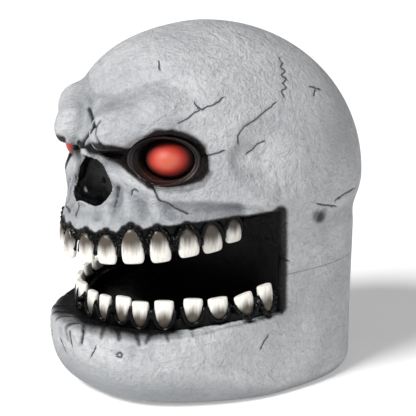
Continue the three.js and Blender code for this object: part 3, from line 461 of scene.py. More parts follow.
# %% An outline drawn out
def slab(name, outline, depth):
    """An outline of 3-D corners in mm, filled and drawn out along a depth."""
    mesh = bpy.data.meshes.new(name)
    mesh.from_pydata([tuple(p) for p in to_metres(outline)], [], [tuple(range(len(outline)))])
    tool = bpy.data.objects.new(name, mesh)
    bpy.context.scene.collection.objects.link(tool)
    only(tool)
    bpy.ops.object.mode_set(mode="EDIT")
    bpy.ops.mesh.select_all(action="SELECT")
    bpy.ops.mesh.extrude_region_move(TRANSFORM_OT_translate={"value": tuple(Vector(depth) * MM)})
    bpy.ops.mesh.select_all(action="SELECT")
    bpy.ops.mesh.normals_make_consistent(inside=False)
    bpy.ops.object.mode_set(mode="OBJECT")
    return tool


# %% Cutters for mouth, sockets and nose, and how far two of them pass the skin, in mm
NOSE_START, MOUTH_SPARE = 30, 20


def mouth_cutter(by, top=MOUTH_TOP_SHARES, bottom=MOUTH_BOTTOM_SHARES):
    y = np.linspace(top[0][0] * LENGTH / 2, MOUTH_BACK, 40)
    floor_line = np.stack([0 * y - WIDTH / 2, y, edge_height(bottom, y) - by], axis=1)
    roof_line = np.stack([0 * y - WIDTH / 2, y, edge_height(top, y) + by], axis=1)
    z = np.linspace(floor_line[-1, 2], roof_line[-1, 2], 12)
    back_line = np.stack([0 * z - WIDTH / 2, mouth_back(z) + by, z], axis=1)
    leaning = roof_line[roof_line[:, 1] < back_line[-1, 1] - 1]
    return slab("mouth_cutter", np.vstack([floor_line[:-1], back_line, leaning[::-1]]), (WIDTH, 0, 0))


def lump_cutter(lump, by, side, seen_from_eye=False):
    bpy.ops.mesh.primitive_ico_sphere_add(subdivisions=5, radius=1)
    tool = named("lump_cutter")
    centre, radii = lump
    local = points_of(tool) * (radii + by) + centre
    set_points(tool, to_metres(from_eye(local, side) if seen_from_eye else local * [side, 1, 1]))
    if (side < 0) != seen_from_eye:
        tool.data.flip_normals()
    return tool


def seat_cutter(side, by):
    turn = np.linspace(0, 2 * math.pi, 48, endpoint=False)
    wide = LENS_SEAT + by
    ring = [[wide * math.cos(a), -by, wide * OVAL * math.sin(a)] for a in turn]
    direction = from_eye([[0, 1, 0]], side)[0] - from_eye([[0, 0, 0]], side)[0]
    return slab("seat_cutter", from_eye(ring, side), direction * (LENS_DOME + by))


def nose_cutter(by):
    loop = [[x, NOSE_FRONT - NOSE_START, z] for x, z in nose_loop(by)]
    return slab("nose_cutter", loop, (0, NOSE_DEPTH + NOSE_START + max(by - NOSE_PLAY, 0), 0))


# %% Blocks, and the mouth within an arch of teeth: sizes that reach past the skull, in mm
BEYOND, BELOW, ABOVE = 300, -60, 600
MOUTH_LOW, MOUTH_HIGH = 60, 300


def block_cutter(low, high):
    (x0, y0, z0), (x1, y1, z1) = low, high
    return slab("block_cutter", [[x0, y0, z0], [x1, y0, z0], [x1, y1, z0], [x0, y1, z0]], (0, 0, z1 - z0))


def layer_cutter(low, high):
    """A block wider than the skull, between two heights."""
    return block_cutter([-BEYOND, -BEYOND, low], [BEYOND, BEYOND, high])


def arch_cutter(arch, off, low, high):
    """The mouth within one arch of teeth, between two heights."""
    side, front, rear, square = arch
    middle = rear * LENGTH / 2
    turn = np.linspace(-math.pi / 2, math.pi / 2, 61)
    x = (side * WIDTH / 2 + off) * np.sign(turn) * np.abs(np.sin(turn)) ** (2 / square)
    y = middle - (middle - front * LENGTH / 2 + off) * np.abs(np.cos(turn)) ** (2 / square)
    loop = [[a, b, low] for a, b in zip(x, y)]
    loop += [[x[end], MOUTH_BACK + MOUTH_SPARE, low] for end in (-1, 0)]
    column = slab("arch_column", loop, (0, 0, high - low))
    tool = mouth_cutter(0)
    cut(tool, column, "INTERSECT")
    return tool


# %% Cut the outside and the hollow
def cut_hollows(solid, by):
    if by:
        cut(solid, mouth_cutter(by))
    else:
        cut(solid, mouth_cutter(0, UPPER_RIM_SHARES, LOWER_RIM_SHARES))
        cut(solid, arch_cutter(UPPER_ARCH_SHARES, UPPER_OFF, SEAM_HEIGHT, MOUTH_HIGH))
        cut(solid, arch_cutter(LOWER_ARCH_SHARES, LOWER_OFF, MOUTH_LOW, SEAM_HEIGHT))
    for side in (1, -1):
        cut(solid, lump_cutter(BOWL, by, side, seen_from_eye=True))
        cut(solid, lump_cutter(CORNER, by, side))
        cut(solid, lump_cutter(CREASE, by, side))
        cut(solid, seat_cutter(side, by))
    cut(solid, nose_cutter(NOSE_PLAY + by))
    return solid


outside = cut_hollows(blown("outside", 7, 0), 0)
cut(outside, layer_cutter(BELOW, 0.0))
inside = cut_hollows(blown("inside", 5, WALL), WALL)
cut(inside, layer_cutter(BELOW, WALL - BLOCK_SHARES["floor"] * HEIGHT))
print("outside", len(outside.data.polygons), "faces, inside", len(inside.data.polygons))

# %% [markdown]
# ### Hatch and underside
# The battery case is let into the lower back, and the base has an oval opening under its plate. Their
# holes could be drawn again by hand, but they are taken from the boxes of the solids, so they always fit.

# %% The hole for the case, in mm: play round it, where the cutter ends, and the wall kept round the case
PLAY, HATCH_END, CASE_WALL, CASE_WALL_DEPTH = 0.3, 240, 5, 8


def frame_box(node):
    low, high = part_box(node)
    return to_mm(np.array([low, high]))


case_low, case_high = frame_box("battery_case")


def case_cutter(grow, start):
    """A block round the case, from a depth out through the back of the head."""
    return block_cutter([case_low[0] - grow, start, case_low[2] - grow],
                        [case_high[0] + grow, HATCH_END, case_high[2] + grow])


hatch = case_cutter(PLAY, case_low[1])
cut(inside, case_cutter(CASE_WALL, case_high[1] - CASE_WALL_DEPTH))
print("the case is", (case_high - case_low).round(1), "mm")

# %% The hole for the base plate, and the ledge that it lies against, in mm and as shares of the hole
PLATE_HOLE_LOW, PLATE_HOLE_TALL, LEDGE_TALL = -20, 21.7, 35
LEDGE_SHARES = 0.9, 0.93
plate_low, plate_high = frame_box("base_plate")
plate_middle, plate_half = (plate_low + plate_high) / 2, (plate_high - plate_low) / 2
oval = [[(plate_half[0] + PLAY) * math.cos(a), plate_middle[1] + (plate_half[1] + PLAY) * math.sin(a),
         PLATE_HOLE_LOW] for a in np.linspace(0, 2 * math.pi, 64, endpoint=False)]
plate_hole = slab("plate_hole", oval, (0, 0, PLATE_HOLE_TALL))
ledge = [[x * LEDGE_SHARES[0], plate_middle[1] + (y - plate_middle[1]) * LEDGE_SHARES[1], z]
         for x, y, z in oval]
ledge_hole = slab("ledge_hole", ledge, (0, 0, LEDGE_TALL))
print("the plate is", (plate_high - plate_low).round(1), "mm")

# %% Settle points on the skin: how near they must lie, in mm, and how far they go at a step
SETTLE_REACH, SETTLE_SHARE, SLOPE_STEP, LEAST_SLOPE = 2.6, 0.9, 0.4, 0.2


def settle(piece, low, high, steps=3):
    """Moves points that lie near the skin onto it, between two heights."""
    points = to_mm(points_of(piece))
    for _ in range(steps):
        here = to_skin(points)
        near = (np.abs(here) < SETTLE_REACH) & (points[:, 2] > low) & (points[:, 2] < high)
        slope = slope_of(to_skin, points[near], SLOPE_STEP)
        steep = np.maximum((slope ** 2).sum(1), LEAST_SLOPE)
        points[near] -= SETTLE_SHARE * (here[near] / steep)[:, None] * slope
    set_points(piece, to_metres(points))


# %% Part the shells. Each is cut too long before its faces are spread, so its edge stays sharp
VOXEL, SPARE, SETTLE_PAST, FLOOR_KEPT, SEAM_GAP = 2.2, 8, 5, 2, 0.1


def shell(name, low, high, above):
    """Above is 1 for the shell over the seam and 0 for the one under it, whose flat floor isn't settled."""
    piece = outside.copy()
    piece.data = outside.data.copy()
    piece.name = piece.data.name = name
    bpy.context.scene.collection.objects.link(piece)
    cut(piece, layer_cutter(low - SPARE * above, high + SPARE * (1 - above)), "INTERSECT")
    apply_modifier(piece, "REMESH", mode="VOXEL", voxel_size=VOXEL * MM)
    settle(piece, low - SETTLE_PAST * above + FLOOR_KEPT * (1 - above), high + SETTLE_PAST * (1 - above))
    cut(piece, layer_cutter(low, high), "INTERSECT")
    cut(piece, inside, keep=True)
    return piece


cranium = shell("cranium_bone", SEAM_HEIGHT + SEAM_GAP, ABOVE, 1)
jaw = shell("jaw_bone", 0, SEAM_HEIGHT - SEAM_GAP, 0)
for tool in (hatch, plate_hole, ledge_hole):
    cut(jaw, tool)
for tool in (outside, inside):
    bpy.data.objects.remove(tool)
print("cranium", len(cranium.data.polygons), "faces, jaw", len(jaw.data.polygons))

# %% [markdown]
# ## Marks on the bone
# Cracks, furrows, soft swellings and the sprayed black were laid on by a person with a tool in hand. Some of
# the
# black strokes are painted shade: under the brow and the cheekbone, in the temple, the ear, the furrows and
# at the far edge of the face.
# They could be painted on an image, but the skull has no flat layout to paint on. So they are drawn as
# strokes: a few points seen from the picture's side, a core and a soft edge, and how strong they are.
# Most repeat on the other half of the head, which the picture hides.

# %% The camera, from which the strokes are seen
AZIMUTH, ELEVATION, DISTANCE = math.radians(50), math.radians(12), 1590.0
TARGET = np.array([0, -3.5, 204.0])
LENS_LENGTH, SENSOR, PICTURE = 110.0, 36.0, 416
back = np.array([math.sin(AZIMUTH) * math.cos(ELEVATION), -math.cos(AZIMUTH) * math.cos(ELEVATION),
                 math.sin(ELEVATION)])
right = np.array([math.cos(AZIMUTH), math.sin(AZIMUTH), 0])
upward = np.cross(back, right)


def seen(points):
    """Picture coordinates of points in frame millimetres."""
    p = points - TARGET
    scale = PICTURE * LENS_LENGTH / SENSOR / (DISTANCE - p @ back)
    return np.stack([PICTURE / 2 + scale * (p @ right), PICTURE / 2 - scale * (p @ upward)], axis=1)


# %% Strokes
def to_stroke(flat, line):
    """Distance and side of points from a line of picture points."""
    best, turn = np.full(len(flat), 1e9), np.ones(len(flat))
    line = np.array(line, float)
    for a, b in zip(line, line[1:]):
        along = b - a
        t = np.clip((flat - a) @ along / (along @ along), 0, 1)
        off = flat - a - t[:, None] * along
        far = np.linalg.norm(off, axis=1)
        closer = far < best
        best = np.where(closer, far, best)
        turn = np.where(closer, np.sign(along[0] * off[:, 1] - along[1] * off[:, 0]), turn)
    return best, turn


def painted(flat, strokes):
    """How much the strokes cover each point: each is (line, core, edge, strength)."""
    bare = np.ones(len(flat))
    for line, core, edge, strength in strokes:
        far, _ = to_stroke(flat, line)
        bare *= 1 - strength * (1 - smooth_step(far, core, core + edge))
    return 1 - bare


# %% Black sprayed round the eye, with painted shade under brow and cheekbone, in the temple, the ear and furrows, seen on the near side, in picture points
EYE_BLACK = [[128, 166], [137, 158], [148, 143], [160, 134], [171, 131], [184, 134], [197, 141],
             [204, 149], [208, 160], [208, 171], [201, 180], [184, 185], [169, 186.5], [156, 184.5],
             [150, 180], [138, 171]]
NEAR_SOOT_AND_SHADE = [
    # Painted shade under the brow, towards the nose, partly sprayed black
    ([[92, 148], [108, 151.5], [122, 154], [135, 157]], 2.5, 7.5, 0.92),
    ([[112, 154], [124, 158], [134, 163]], 3.5, 9, 0.85),
    ([[131, 158], [140, 151], [148, 143], [158, 136]], 3, 8.5, 0.9),
    ([[122, 160], [130, 169], [138, 175], [150, 184]], 2, 5, 0.85),
    ([[150, 184], [156, 193], [160, 201]], 0.3, 2.5, 0.45),
    ([[150, 187], [170, 191], [188, 190], [203, 184], [211, 173]], 0.5, 6, 0.45),
    # Painted shade under the edge of the brow over the eye
    ([[148, 141], [160, 134], [173, 131.5], [190, 136], [204, 146]], 0.5, 6.5, 0.5),
    # Painted shade in the furrows beside the nose
    ([[117, 197], [119, 206], [114, 216]], 0.5, 7, 0.22),
    ([[145, 206], [150, 214]], 0.5, 6, 0.16),
    # Painted shadow under the cheekbone
    ([[164, 205], [188, 211], [215, 209], [240, 206], [262, 209]], 0.5, 7, 0.3),
    ([[281, 212], [281, 250], [280.5, 307]], 2.5, 8, 0.92),
    # Painted shade in the dish of the temple, then in the hole of the ear
    ([[262, 152], [255, 166], [262, 172]], 2, 12, 0.16),
    ([[318.4, 216.2], [318.8, 217]], 2.5, 8.5, 0.6),
]

# %% Black that isn't mirrored: painted shade in the furrows between the brows, then soot with painted shade at the front edge of the face
SEEN_FURROWS = [
    ([[88.5, 108.5], [91.5, 117], [93.5, 126]], 0.6, 2.6, 0.72),
    ([[93.5, 126], [90, 132], [84, 140], [82, 146.5]], 0.5, 2.0, 0.72),
    ([[100.5, 120], [96.3, 126], [95, 135], [98.6, 142.5], [104, 148]], 0.2, 1.6, 0.6),
    ([[83, 147], [92, 146.5], [100, 147.5]], 0.5, 2.2, 0.8),
]
SEEN_SOOT_AND_SHADE = [
    ([[90, 264], [80, 276], [74, 290], [72, 304]], 3, 9, 0.8),
    ([[72, 296], [80, 310], [88, 318]], 2, 7, 0.85),
    ([[71, 270], [63, 287], [62, 308]], 1, 13, 0.5),
    ([[63, 217], [65, 226]], 0.5, 4, 0.5),
    ([[79, 151], [79, 163], [76.5, 176]], 1, 4, 0.45),
]

# %% Black smeared below the lower gum, and runs of it down the chin
SMEARS = [
    ([[68, 322], [100, 331], [140, 336], [178, 332]], 1, 12, 0.45),
    ([[84, 322], [83, 334], [80, 345]], 0.3, 3.5, 0.45),
    ([[104, 326], [101, 338]], 0.3, 3, 0.4),
    ([[118, 328], [119, 340]], 0.3, 3.5, 0.5),
    ([[136, 333], [139, 345]], 0.4, 3.5, 0.55),
    ([[151, 331], [146, 343]], 0.3, 3.5, 0.5),
    ([[166, 333], [168, 341]], 0.3, 3, 0.45),
    ([[191, 329], [193, 337]], 0.3, 3, 0.4),
]

# %% Cracks that are mirrored, and two that aren't, in picture points
CRACKS = [
    [[179.4, 122.7], [188.7, 118.6], [195, 112.4], [201.2, 110.3], [208.4, 106.1], [215.7, 104.1],
     [222.9, 97.8]],
    [[195, 103], [200, 109]],
    [[238.4, 143], [238.4, 137], [241, 131], [245.7, 125.8], [256, 119.6], [265.4, 111.3], [275.7, 103]],
    [[280, 58], [283, 63], [281, 67], [286, 71], [282, 75], [287, 79], [283, 83], [287, 87], [282, 91],
     [285, 97]],
    [[247, 153], [252, 150], [258, 144], [264, 141]],
    [[199, 158], [208.4, 155.4], [216.7, 153.4], [223.5, 150.7]],
    [[336, 200], [343, 195], [353.4, 189]],
    [[158.7, 62], [159.9, 69]],
    [[311, 86.5], [316, 87.5], [320.3, 89.6]],
    [[316, 87.5], [314, 94.7]],
    [[150.8, 183.8], [155.6, 193.5], [159.3, 200.8], [166.6, 203.2], [173.9, 207.5], [178.7, 209.9],
     [187.2, 213.5]],
    [[131.6, 193.5], [132, 190.4], [134.6, 189.4], [137, 191]],
    [[271, 253], [279.7, 258.6], [288, 260.5]],
    [[91, 356], [95.4, 347.8]],
    [[83.4, 330.7], [81.7, 343]],
    [[261, 348], [267.8, 336]],
    [[318, 204], [335, 206.5]],
    [[117, 354], [120, 352.5], [122.5, 355], [120.5, 357.5], [117.5, 356.5]],
]
SEEN_CRACKS = [
    [[77.3, 197.1], [78.5, 205.6], [75.5, 215.4]],
    [[66, 205], [69, 212]],
]

# %% Relief: strokes with a core, an edge and a height in mm, below zero for a furrow
RELIEF = [
    ([[80, 85.4], [92.4, 95], [113.1, 97.5], [131.8, 89.6], [148.4, 84.4], [165, 81]], 0.4, 3.2, -0.9),
    ([[110, 83], [127, 72], [157, 65]], 0.4, 3.2, -0.5),
    ([[117, 189], [119, 198], [114, 210]], 1, 6, -2.2),
    ([[126, 196], [129, 214]], 1, 6, 1.2),
    ([[140, 203], [144, 216]], 1, 6, -1.4),
    ([[152, 203], [157, 216]], 1, 6, 1.3),
    ([[167, 209], [172, 217]], 1, 6, -1.3),
    ([[98, 205], [97, 218]], 1, 5, -1.2),
    ([[107, 208], [107, 219]], 1, 5, 0.9),
    ([[116, 334], [116, 352]], 1, 7, -0.9),
    ([[133, 337], [132, 356]], 1, 7, -1.1),
    ([[153, 336], [152, 354]], 1, 7, -1),
    ([[178, 335], [178, 352]], 1, 7, -0.8),
    ([[207, 330], [207, 346]], 1, 7, -0.7),
    ([[92, 326], [91, 344]], 1, 6, -1.0),
    ([[120.5, 355], [121, 355.5]], 0.3, 2.4, 0.8),
    ([[134.3, 192], [134.6, 192.4]], 0.2, 2.2, 0.9),
]

# %% [markdown]
# ### The marks on a shell
# Relief moves the points of the mesh. Colour is kept as a number on each point, an attribute, which the
# finish of the bone reads later. That needs no image and no layout, and follows every form.

# %% Normals, attributes, and layers of paint
def vertex_normals(piece):
    flat = np.empty(len(piece.data.vertices) * 3)
    piece.data.vertices.foreach_get("normal", flat)
    return flat.reshape(-1, 3)


def give(piece, name, values):
    layer = piece.data.attributes.get(name) or piece.data.attributes.new(name, "FLOAT", "POINT")
    layer.data.foreach_set("value", np.ascontiguousarray(values, np.float32))


def over(first, second):
    """How much two layers of paint cover together."""
    return 1 - (1 - first) * (1 - second)


# %% The two views: everything mirrored onto the near side, and everything where it really lies
def facing(points, normals):
    """How squarely points look at the camera that the strokes are seen from."""
    to_camera = TARGET + back * DISTANCE - points
    to_camera /= np.linalg.norm(to_camera, axis=1)[:, None]
    return smooth_step((normals * to_camera).sum(1), 0.02, 0.2)


def both_views(piece):
    places, normals = points_of(piece) / MM, vertex_normals(piece)
    mirror = np.where(places[:, :1] < 0, -1, 1) * [1, 0, 0] + [0, 1, 1]
    near = seen(places * mirror), facing(places * mirror, normals * mirror)
    return near, (seen(places), facing(places, normals))


# %% Cracks: how near the nearest one is in the picture, and on which side of it a point lies
FAR_SIDE_SHIFT = [5.0, -4.0]  # moves the mirrored cracks, so that both sides aren't the same


def crack_fields(flat, lines):
    near, side = np.full(len(flat), FAR), np.full(len(flat), FAR)
    for line in lines:
        far, turn = to_stroke(flat, line)
        closer = far < near
        near, side = np.where(closer, far, near), np.where(closer, far * turn, side)
    return near, side


def all_cracks(piece, mirrored, as_seen):
    (near_view, near_face), (real_view, real_face) = mirrored, as_seen
    shift = np.where(points_of(piece)[:, :1] < 0, [FAR_SIDE_SHIFT], [[0.0, 0.0]])
    near, side = crack_fields(near_view + shift, CRACKS)
    real_near, real_side = crack_fields(real_view, SEEN_CRACKS)
    use = real_near < near
    near, side = np.where(use, real_near, near), np.where(use, real_side, side)
    hidden = (1 - np.where(use, real_face, near_face)) * FAR
    return near + hidden, side


# %% Press the relief, the cracks and the furrows between the brows into the skin
CRACK_DEPTH, FURROW_DEPTH = 0.9, 2.5


def press_relief(piece, mirrored, as_seen, crack_near, skin):
    (near_view, near_face), (real_view, real_face) = mirrored, as_seen
    lift = np.zeros(len(near_view))
    for line, core, edge, height in RELIEF:
        lift += height * (1 - smooth_step(to_stroke(near_view, line)[0], core, core + edge)) * near_face
    lift -= CRACK_DEPTH * (1 - smooth_step(crack_near, 0.2, 2.0))
    furrow = painted(real_view, SEEN_FURROWS) * real_face
    lift -= FURROW_DEPTH * furrow
    set_points(piece, points_of(piece) + vertex_normals(piece) * (lift * skin * MM)[:, None])


# %% Black: the strokes of spray and painted shade, and everything that lies a few mm below the clay, as the walls of the hollows do
NOSE_SIDE, NOSE_REAR, NOSE_TOP = 45, -130, 291
SUNK_FROM, SUNK_TO, NOSE_SUNK_FROM, NOSE_SUNK_TO = 2.0, 6.0, 0.8, 2.6
LOW_RIM_OUT, LOW_RIM_IN = 6, 3


def sunk_black(place):
    depth = -to_clay(place)
    nose = (np.abs(place[:, 0]) < NOSE_SIDE) & (place[:, 1] < NOSE_REAR) & (place[:, 2] < NOSE_TOP)
    start, end = np.where(nose, NOSE_SUNK_FROM, SUNK_FROM), np.where(nose, NOSE_SUNK_TO, SUNK_TO)
    sunk = smooth_step(depth, start, end)
    rim = smooth_step(to_arch(place, LOWER_ARCH_SHARES), LOW_RIM_OUT, LOW_RIM_IN) * (depth > 1)
    return np.where(place[:, 2] < SEAM_HEIGHT, rim, sunk)


def sprayed_black_and_painted_shade(place, mirrored, as_seen):
    (near_view, near_face), (real_view, real_face) = mirrored, as_seen
    almond = 1 - smooth_step(to_loop(near_view, np.array(EYE_BLACK)), -1.5, 3.5)
    soot_and_painted_shade = over(painted(near_view, NEAR_SOOT_AND_SHADE + SMEARS) * near_face, almond * near_face)
    soot_and_painted_shade = over(soot_and_painted_shade, painted(real_view, SEEN_FURROWS + SEEN_SOOT_AND_SHADE) * real_face)
    return over(soot_and_painted_shade, sunk_black(place))


# %% Dark wash in hollows and pale brushing on ridges, partly real paint and partly painted shade and painted highlight: a reach in mm, and how strongly each shows
WASH_AND_SHADE_REACHES = [(7.0, 1.6, 1.5), (20.0, 1.8, 0.3)]
LEAST_BRUSHED_HIGHLIGHT = 0.1


def hollow_and_ridge(places, normals, reach):
    """How much the skin closes in on each point, and how sharply it falls away, within a reach in mm."""
    hollow = np.clip(1 - to_skin(places + normals * reach) / reach, 0, 1)
    ridge = np.clip(1 + to_clay(places - normals * reach) / reach, 0, 1)
    return hollow, ridge


def paint_wash_shade_and_brush_highlight(place, normals, skin):
    wash_and_painted_shade, brushed_and_painted_highlight = np.zeros(len(place)), np.zeros(len(place))
    for reach, hollow_share, ridge_share in WASH_AND_SHADE_REACHES:
        hollow, ridge = hollow_and_ridge(place[skin], normals[skin], reach)
        wash_and_painted_shade[skin] += hollow_share * hollow
        brushed_and_painted_highlight[skin] += ridge_share * ridge
    return np.clip(wash_and_painted_shade, 0, 1), np.clip(brushed_and_painted_highlight - LEAST_BRUSHED_HIGHLIGHT, 0, 1)


# %% Lay all the marks on both shells. Only the outer skin is marked, and the inside is left black
SKIN_DEPTH, LID_SKIN_REACH = 1.6, 6


def mark(piece):
    normals = vertex_normals(piece)
    mirrored, as_seen = both_views(piece)
    skin = to_skin(to_mm(points_of(piece))) > -SKIN_DEPTH
    crack_near, crack_side = all_cracks(piece, mirrored, as_seen)
    press_relief(piece, mirrored, as_seen, crack_near, skin)
    place = to_mm(points_of(piece))
    give(piece, "soot_and_painted_shade", np.where(skin, sprayed_black_and_painted_shade(place, mirrored, as_seen), 1))
    give(piece, "crack_near", crack_near)
    give(piece, "crack_side", crack_side)
    # Painted shade in the hollows and painted highlight on the ridges, as a wash and a dry brush would also
    # leave them
    wash_and_painted_shade, brushed_and_painted_highlight = paint_wash_shade_and_brush_highlight(place, normals, skin)
    give(piece, "wash_and_painted_shade", wash_and_painted_shade)
    give(piece, "brushed_and_painted_highlight", brushed_and_painted_highlight)
    give(piece, "lid_skin", 1 - smooth_step(to_socket(place), 0, LID_SKIN_REACH))


for bone in (cranium, jaw):
    mark(bone)
    print(bone.name, "marked")

# %% [markdown]
# ## Teeth
# Each tooth is a small solid casting, painted ivory at its edge and brown at its root. It could be
# carved from a cube, but a tooth changes its outline all the way up. So a disc is extruded and scaled
# from the edge to the root, a subdivision rounds it, and its round outline is pulled towards a square.

# %% One tooth, one unit wide, deep and tall: each section is its rise, width and depth
TOOTH_SQUARE, TOOTH_TRIM = 2.8, 0.98
UPPER_SECTIONS = [(0, 0.72, 0.5), (0.03, 0.86, 0.66), (0.12, 0.97, 0.78), (0.3, 1, 0.92), (0.5, 0.95, 1),
                  (0.68, 0.83, 1), (0.84, 0.63, 0.92), (0.95, 0.38, 0.7), (1, 0.12, 0.3)]
LOWER_SECTIONS = [(0, 0.86, 0.55), (0.03, 0.97, 0.7), (0.1, 1, 0.8), (0.3, 0.99, 0.92), (0.5, 0.92, 1),
                  (0.68, 0.8, 1), (0.84, 0.62, 0.92), (0.95, 0.4, 0.7), (1, 0.12, 0.3)]


def model_tooth(name, sections):
    bpy.ops.mesh.primitive_circle_add(vertices=20, radius=1, fill_type="NGON")
    tooth = named(name)
    bpy.ops.object.mode_set(mode="EDIT")
    bpy.ops.mesh.select_all(action="SELECT")
    bpy.ops.mesh.inset(thickness=0.35)
    bpy.ops.mesh.select_all(action="SELECT")
    height, wide, deep = 0, 1, 1
    for rise, width, depth in sections:
        if rise > 0:
            bpy.ops.mesh.extrude_region_move(TRANSFORM_OT_translate={"value": (0, 0, rise - height)})
        bpy.ops.transform.resize(value=(width / wide, depth / deep, 1), center_override=(0, 0, rise))
        height, wide, deep = rise, width, depth
    bpy.ops.mesh.select_all(action="SELECT")
    bpy.ops.mesh.normals_make_consistent(inside=False)
    bpy.ops.object.mode_set(mode="OBJECT")
    apply_modifier(tooth, "SUBSURF", levels=1, render_levels=1)
    points = points_of(tooth)
    ring = np.hypot(points[:, 0], points[:, 1]) + 1e-9
    across, along = np.abs(points[:, 0] / ring), np.abs(points[:, 1] / ring)
    square = (across ** TOOTH_SQUARE + along ** TOOTH_SQUARE) ** (-1 / TOOTH_SQUARE)
    points[:, :2] *= square[:, None]
    points[:, :2] *= TOOTH_TRIM
    set_points(tooth, points)
    give(tooth, "rise", points[:, 2])
    give(tooth, "across", points[:, 0])
    bpy.ops.object.shade_smooth()
    return tooth


upper_tooth = model_tooth("upper_tooth_model", UPPER_SECTIONS)
lower_tooth = model_tooth("lower_tooth_model", LOWER_SECTIONS)
print("one tooth has", len(upper_tooth.data.polygons), "faces")

# %% [markdown]
# ### Two arches of teeth
# The real teeth are cast alike and set by hand: no two have the same width, height or lean. One model is
# copied along each arch. Every number of a tooth is a share of a nominal one, and the side that the
# picture hides leans a little at random.

# %% Where the teeth stand: turn along the arch, width, height, sink, and lean of the edge in degrees
UPPER = {"arch": UPPER_ARCH_SHARES, "line": MOUTH_TOP_SHARES, "size": (0.1156, 36.0, 11.5), "down": True,
         "teeth": [(0.09, 0.88, 0.9, 0.19, 1), (0.24, 0.96, 0.91, 0.18, 1), (0.386, 1.06, 1.08, 0.08, 4),
                   (0.526, 0.98, 1, 0.26, 7), (0.662, 1, 0.93, 0.3, 8), (0.789, 1.02, 0.94, 0.37, 9),
                   (0.911, 0.88, 0.78, 0.37, 6)]}
LOWER = {"arch": LOWER_ARCH_SHARES, "line": MOUTH_BOTTOM_SHARES, "size": (0.0933, 31.0, 11.5),
         "down": False,
         "teeth": [(0.05, 0.78, 0.9, 0.27, 0), (0.17, 0.88, 0.94, 0.34, 1), (0.274, 0.88, 0.92, 0.25, -2),
                   (0.396, 0.96, 1, 0.26, -1), (0.53, 0.94, 0.88, 0.4, 2), (0.653, 1, 0.78, 0.38, -5),
                   (0.774, 0.98, 0.8, 0.46, -16), (0.864, 0.82, 1.02, 0.4, -9)]}


def arch_point(jaw_part, turn):
    side, front, rear, square = jaw_part["arch"]
    middle = rear * LENGTH / 2
    x = side * WIDTH / 2 * np.sign(turn) * abs(math.sin(turn)) ** (2 / square)
    y = middle - (middle - front * LENGTH / 2) * abs(math.cos(turn)) ** (2 / square)
    return np.array([x, y])


def measured(jaw_part):
    """Width, height and depth of a nominal tooth in mm; the width is a share of half the arch."""
    corners = np.array([arch_point(jaw_part, t) for t in np.linspace(0, math.pi / 2, 13)])
    length = np.linalg.norm(np.diff(corners, axis=0), axis=1).sum()
    return jaw_part["size"][0] * length, jaw_part["size"][1], jaw_part["size"][2]


# %% Stand a tooth in its place
def stand(local, jaw_part, tooth_shares, side, lean=0.0, out=0.0):
    """Puts points of a tooth, across, deep and up from its edge in mm, in their place in the jaw."""
    turn_share, _, height_share, sink, _ = tooth_shares
    _, tall, _ = measured(jaw_part)
    turn = turn_share * math.pi / 2
    x, y = arch_point(jaw_part, turn)
    near = arch_point(jaw_part, turn - 0.01)
    angle = math.atan2(y - near[1], x - near[0])
    up = local[:, 2] - tall * height_share
    tilt = math.radians(lean)
    across = local[:, 0] * math.cos(tilt) - up * math.sin(tilt)
    up = local[:, 0] * math.sin(tilt) + up * math.cos(tilt)
    if not jaw_part["down"]:
        up = -up
    root = edge_height(jaw_part["line"], y) + sink * tall * (-1 if jaw_part["down"] else 1)
    deep_in = local[:, 1] - out
    placed = np.stack([across * math.cos(angle) - deep_in * math.sin(angle) + x,
                       across * math.sin(angle) + deep_in * math.cos(angle) + y, up + root], axis=1)
    return placed * [side, 1, 1]


# %% Move a tooth out until its face stands out of the skin: all in mm but the two shares
PROUD, MOST_OUT, DEEPEST = 1.2, 6, 8
FACE_DEPTH_SHARE, FACE_RISE_SHARES = 0.47, (0.75, 0.9)


def proud_by(jaw_part, tooth_shares):
    """How far a tooth moves outward. One that lies deep in the mouth stays where it is."""
    _, tall, deep = measured(jaw_part)
    face = np.array([[0, -FACE_DEPTH_SHARE * deep, tall * tooth_shares[2] * share]
                     for share in FACE_RISE_SHARES])
    depth = to_clay(stand(face, jaw_part, tooth_shares, 1)).min()
    return float(np.clip(PROUD - depth, 0, MOST_OUT)) if depth > -DEEPEST else 0.0


# %% Copy the models along the arches
TOOTH_WIDER, ROOT_LONGER, MOST_LEAN = 0.4, 2, 2.5


def place_tooth(model, jaw_part, tooth_shares, side, name, lean):
    tooth = model.copy()
    tooth.data = model.data.copy()
    tooth.name = tooth.data.name = name
    bpy.context.scene.collection.objects.link(tooth)
    wide, tall, deep = measured(jaw_part)
    local = points_of(model) * [wide * tooth_shares[1] / 2 + TOOTH_WIDER, deep / 2,
                                tall * tooth_shares[2] + ROOT_LONGER]
    out = proud_by(jaw_part, tooth_shares)
    set_points(tooth, to_metres(stand(local, jaw_part, tooth_shares, side, lean, out)))
    if (side < 0) != (not jaw_part["down"]):
        tooth.data.flip_normals()
    return tooth


teeth = {}
luck = np.random.default_rng(11)
for jaw_name, jaw_part, model in (("upper", UPPER, upper_tooth), ("lower", LOWER, lower_tooth)):
    for side, word in ((1, "left"), (-1, "right")):
        for i, shares in enumerate(jaw_part["teeth"]):
            node = f"{jaw_name}_tooth_{word}_{i + 1}"
            lean = shares[4] + (luck.uniform(-MOST_LEAN, MOST_LEAN) if side < 0 else 0)
            teeth[node] = place_tooth(model, jaw_part, shares, side, node + "_cast", lean)
            give(teeth[node], "own", np.full(len(teeth[node].data.vertices), luck.uniform(0, 1)))
for model in (upper_tooth, lower_tooth):
    bpy.data.objects.remove(model)
print(len(teeth), "teeth stand")

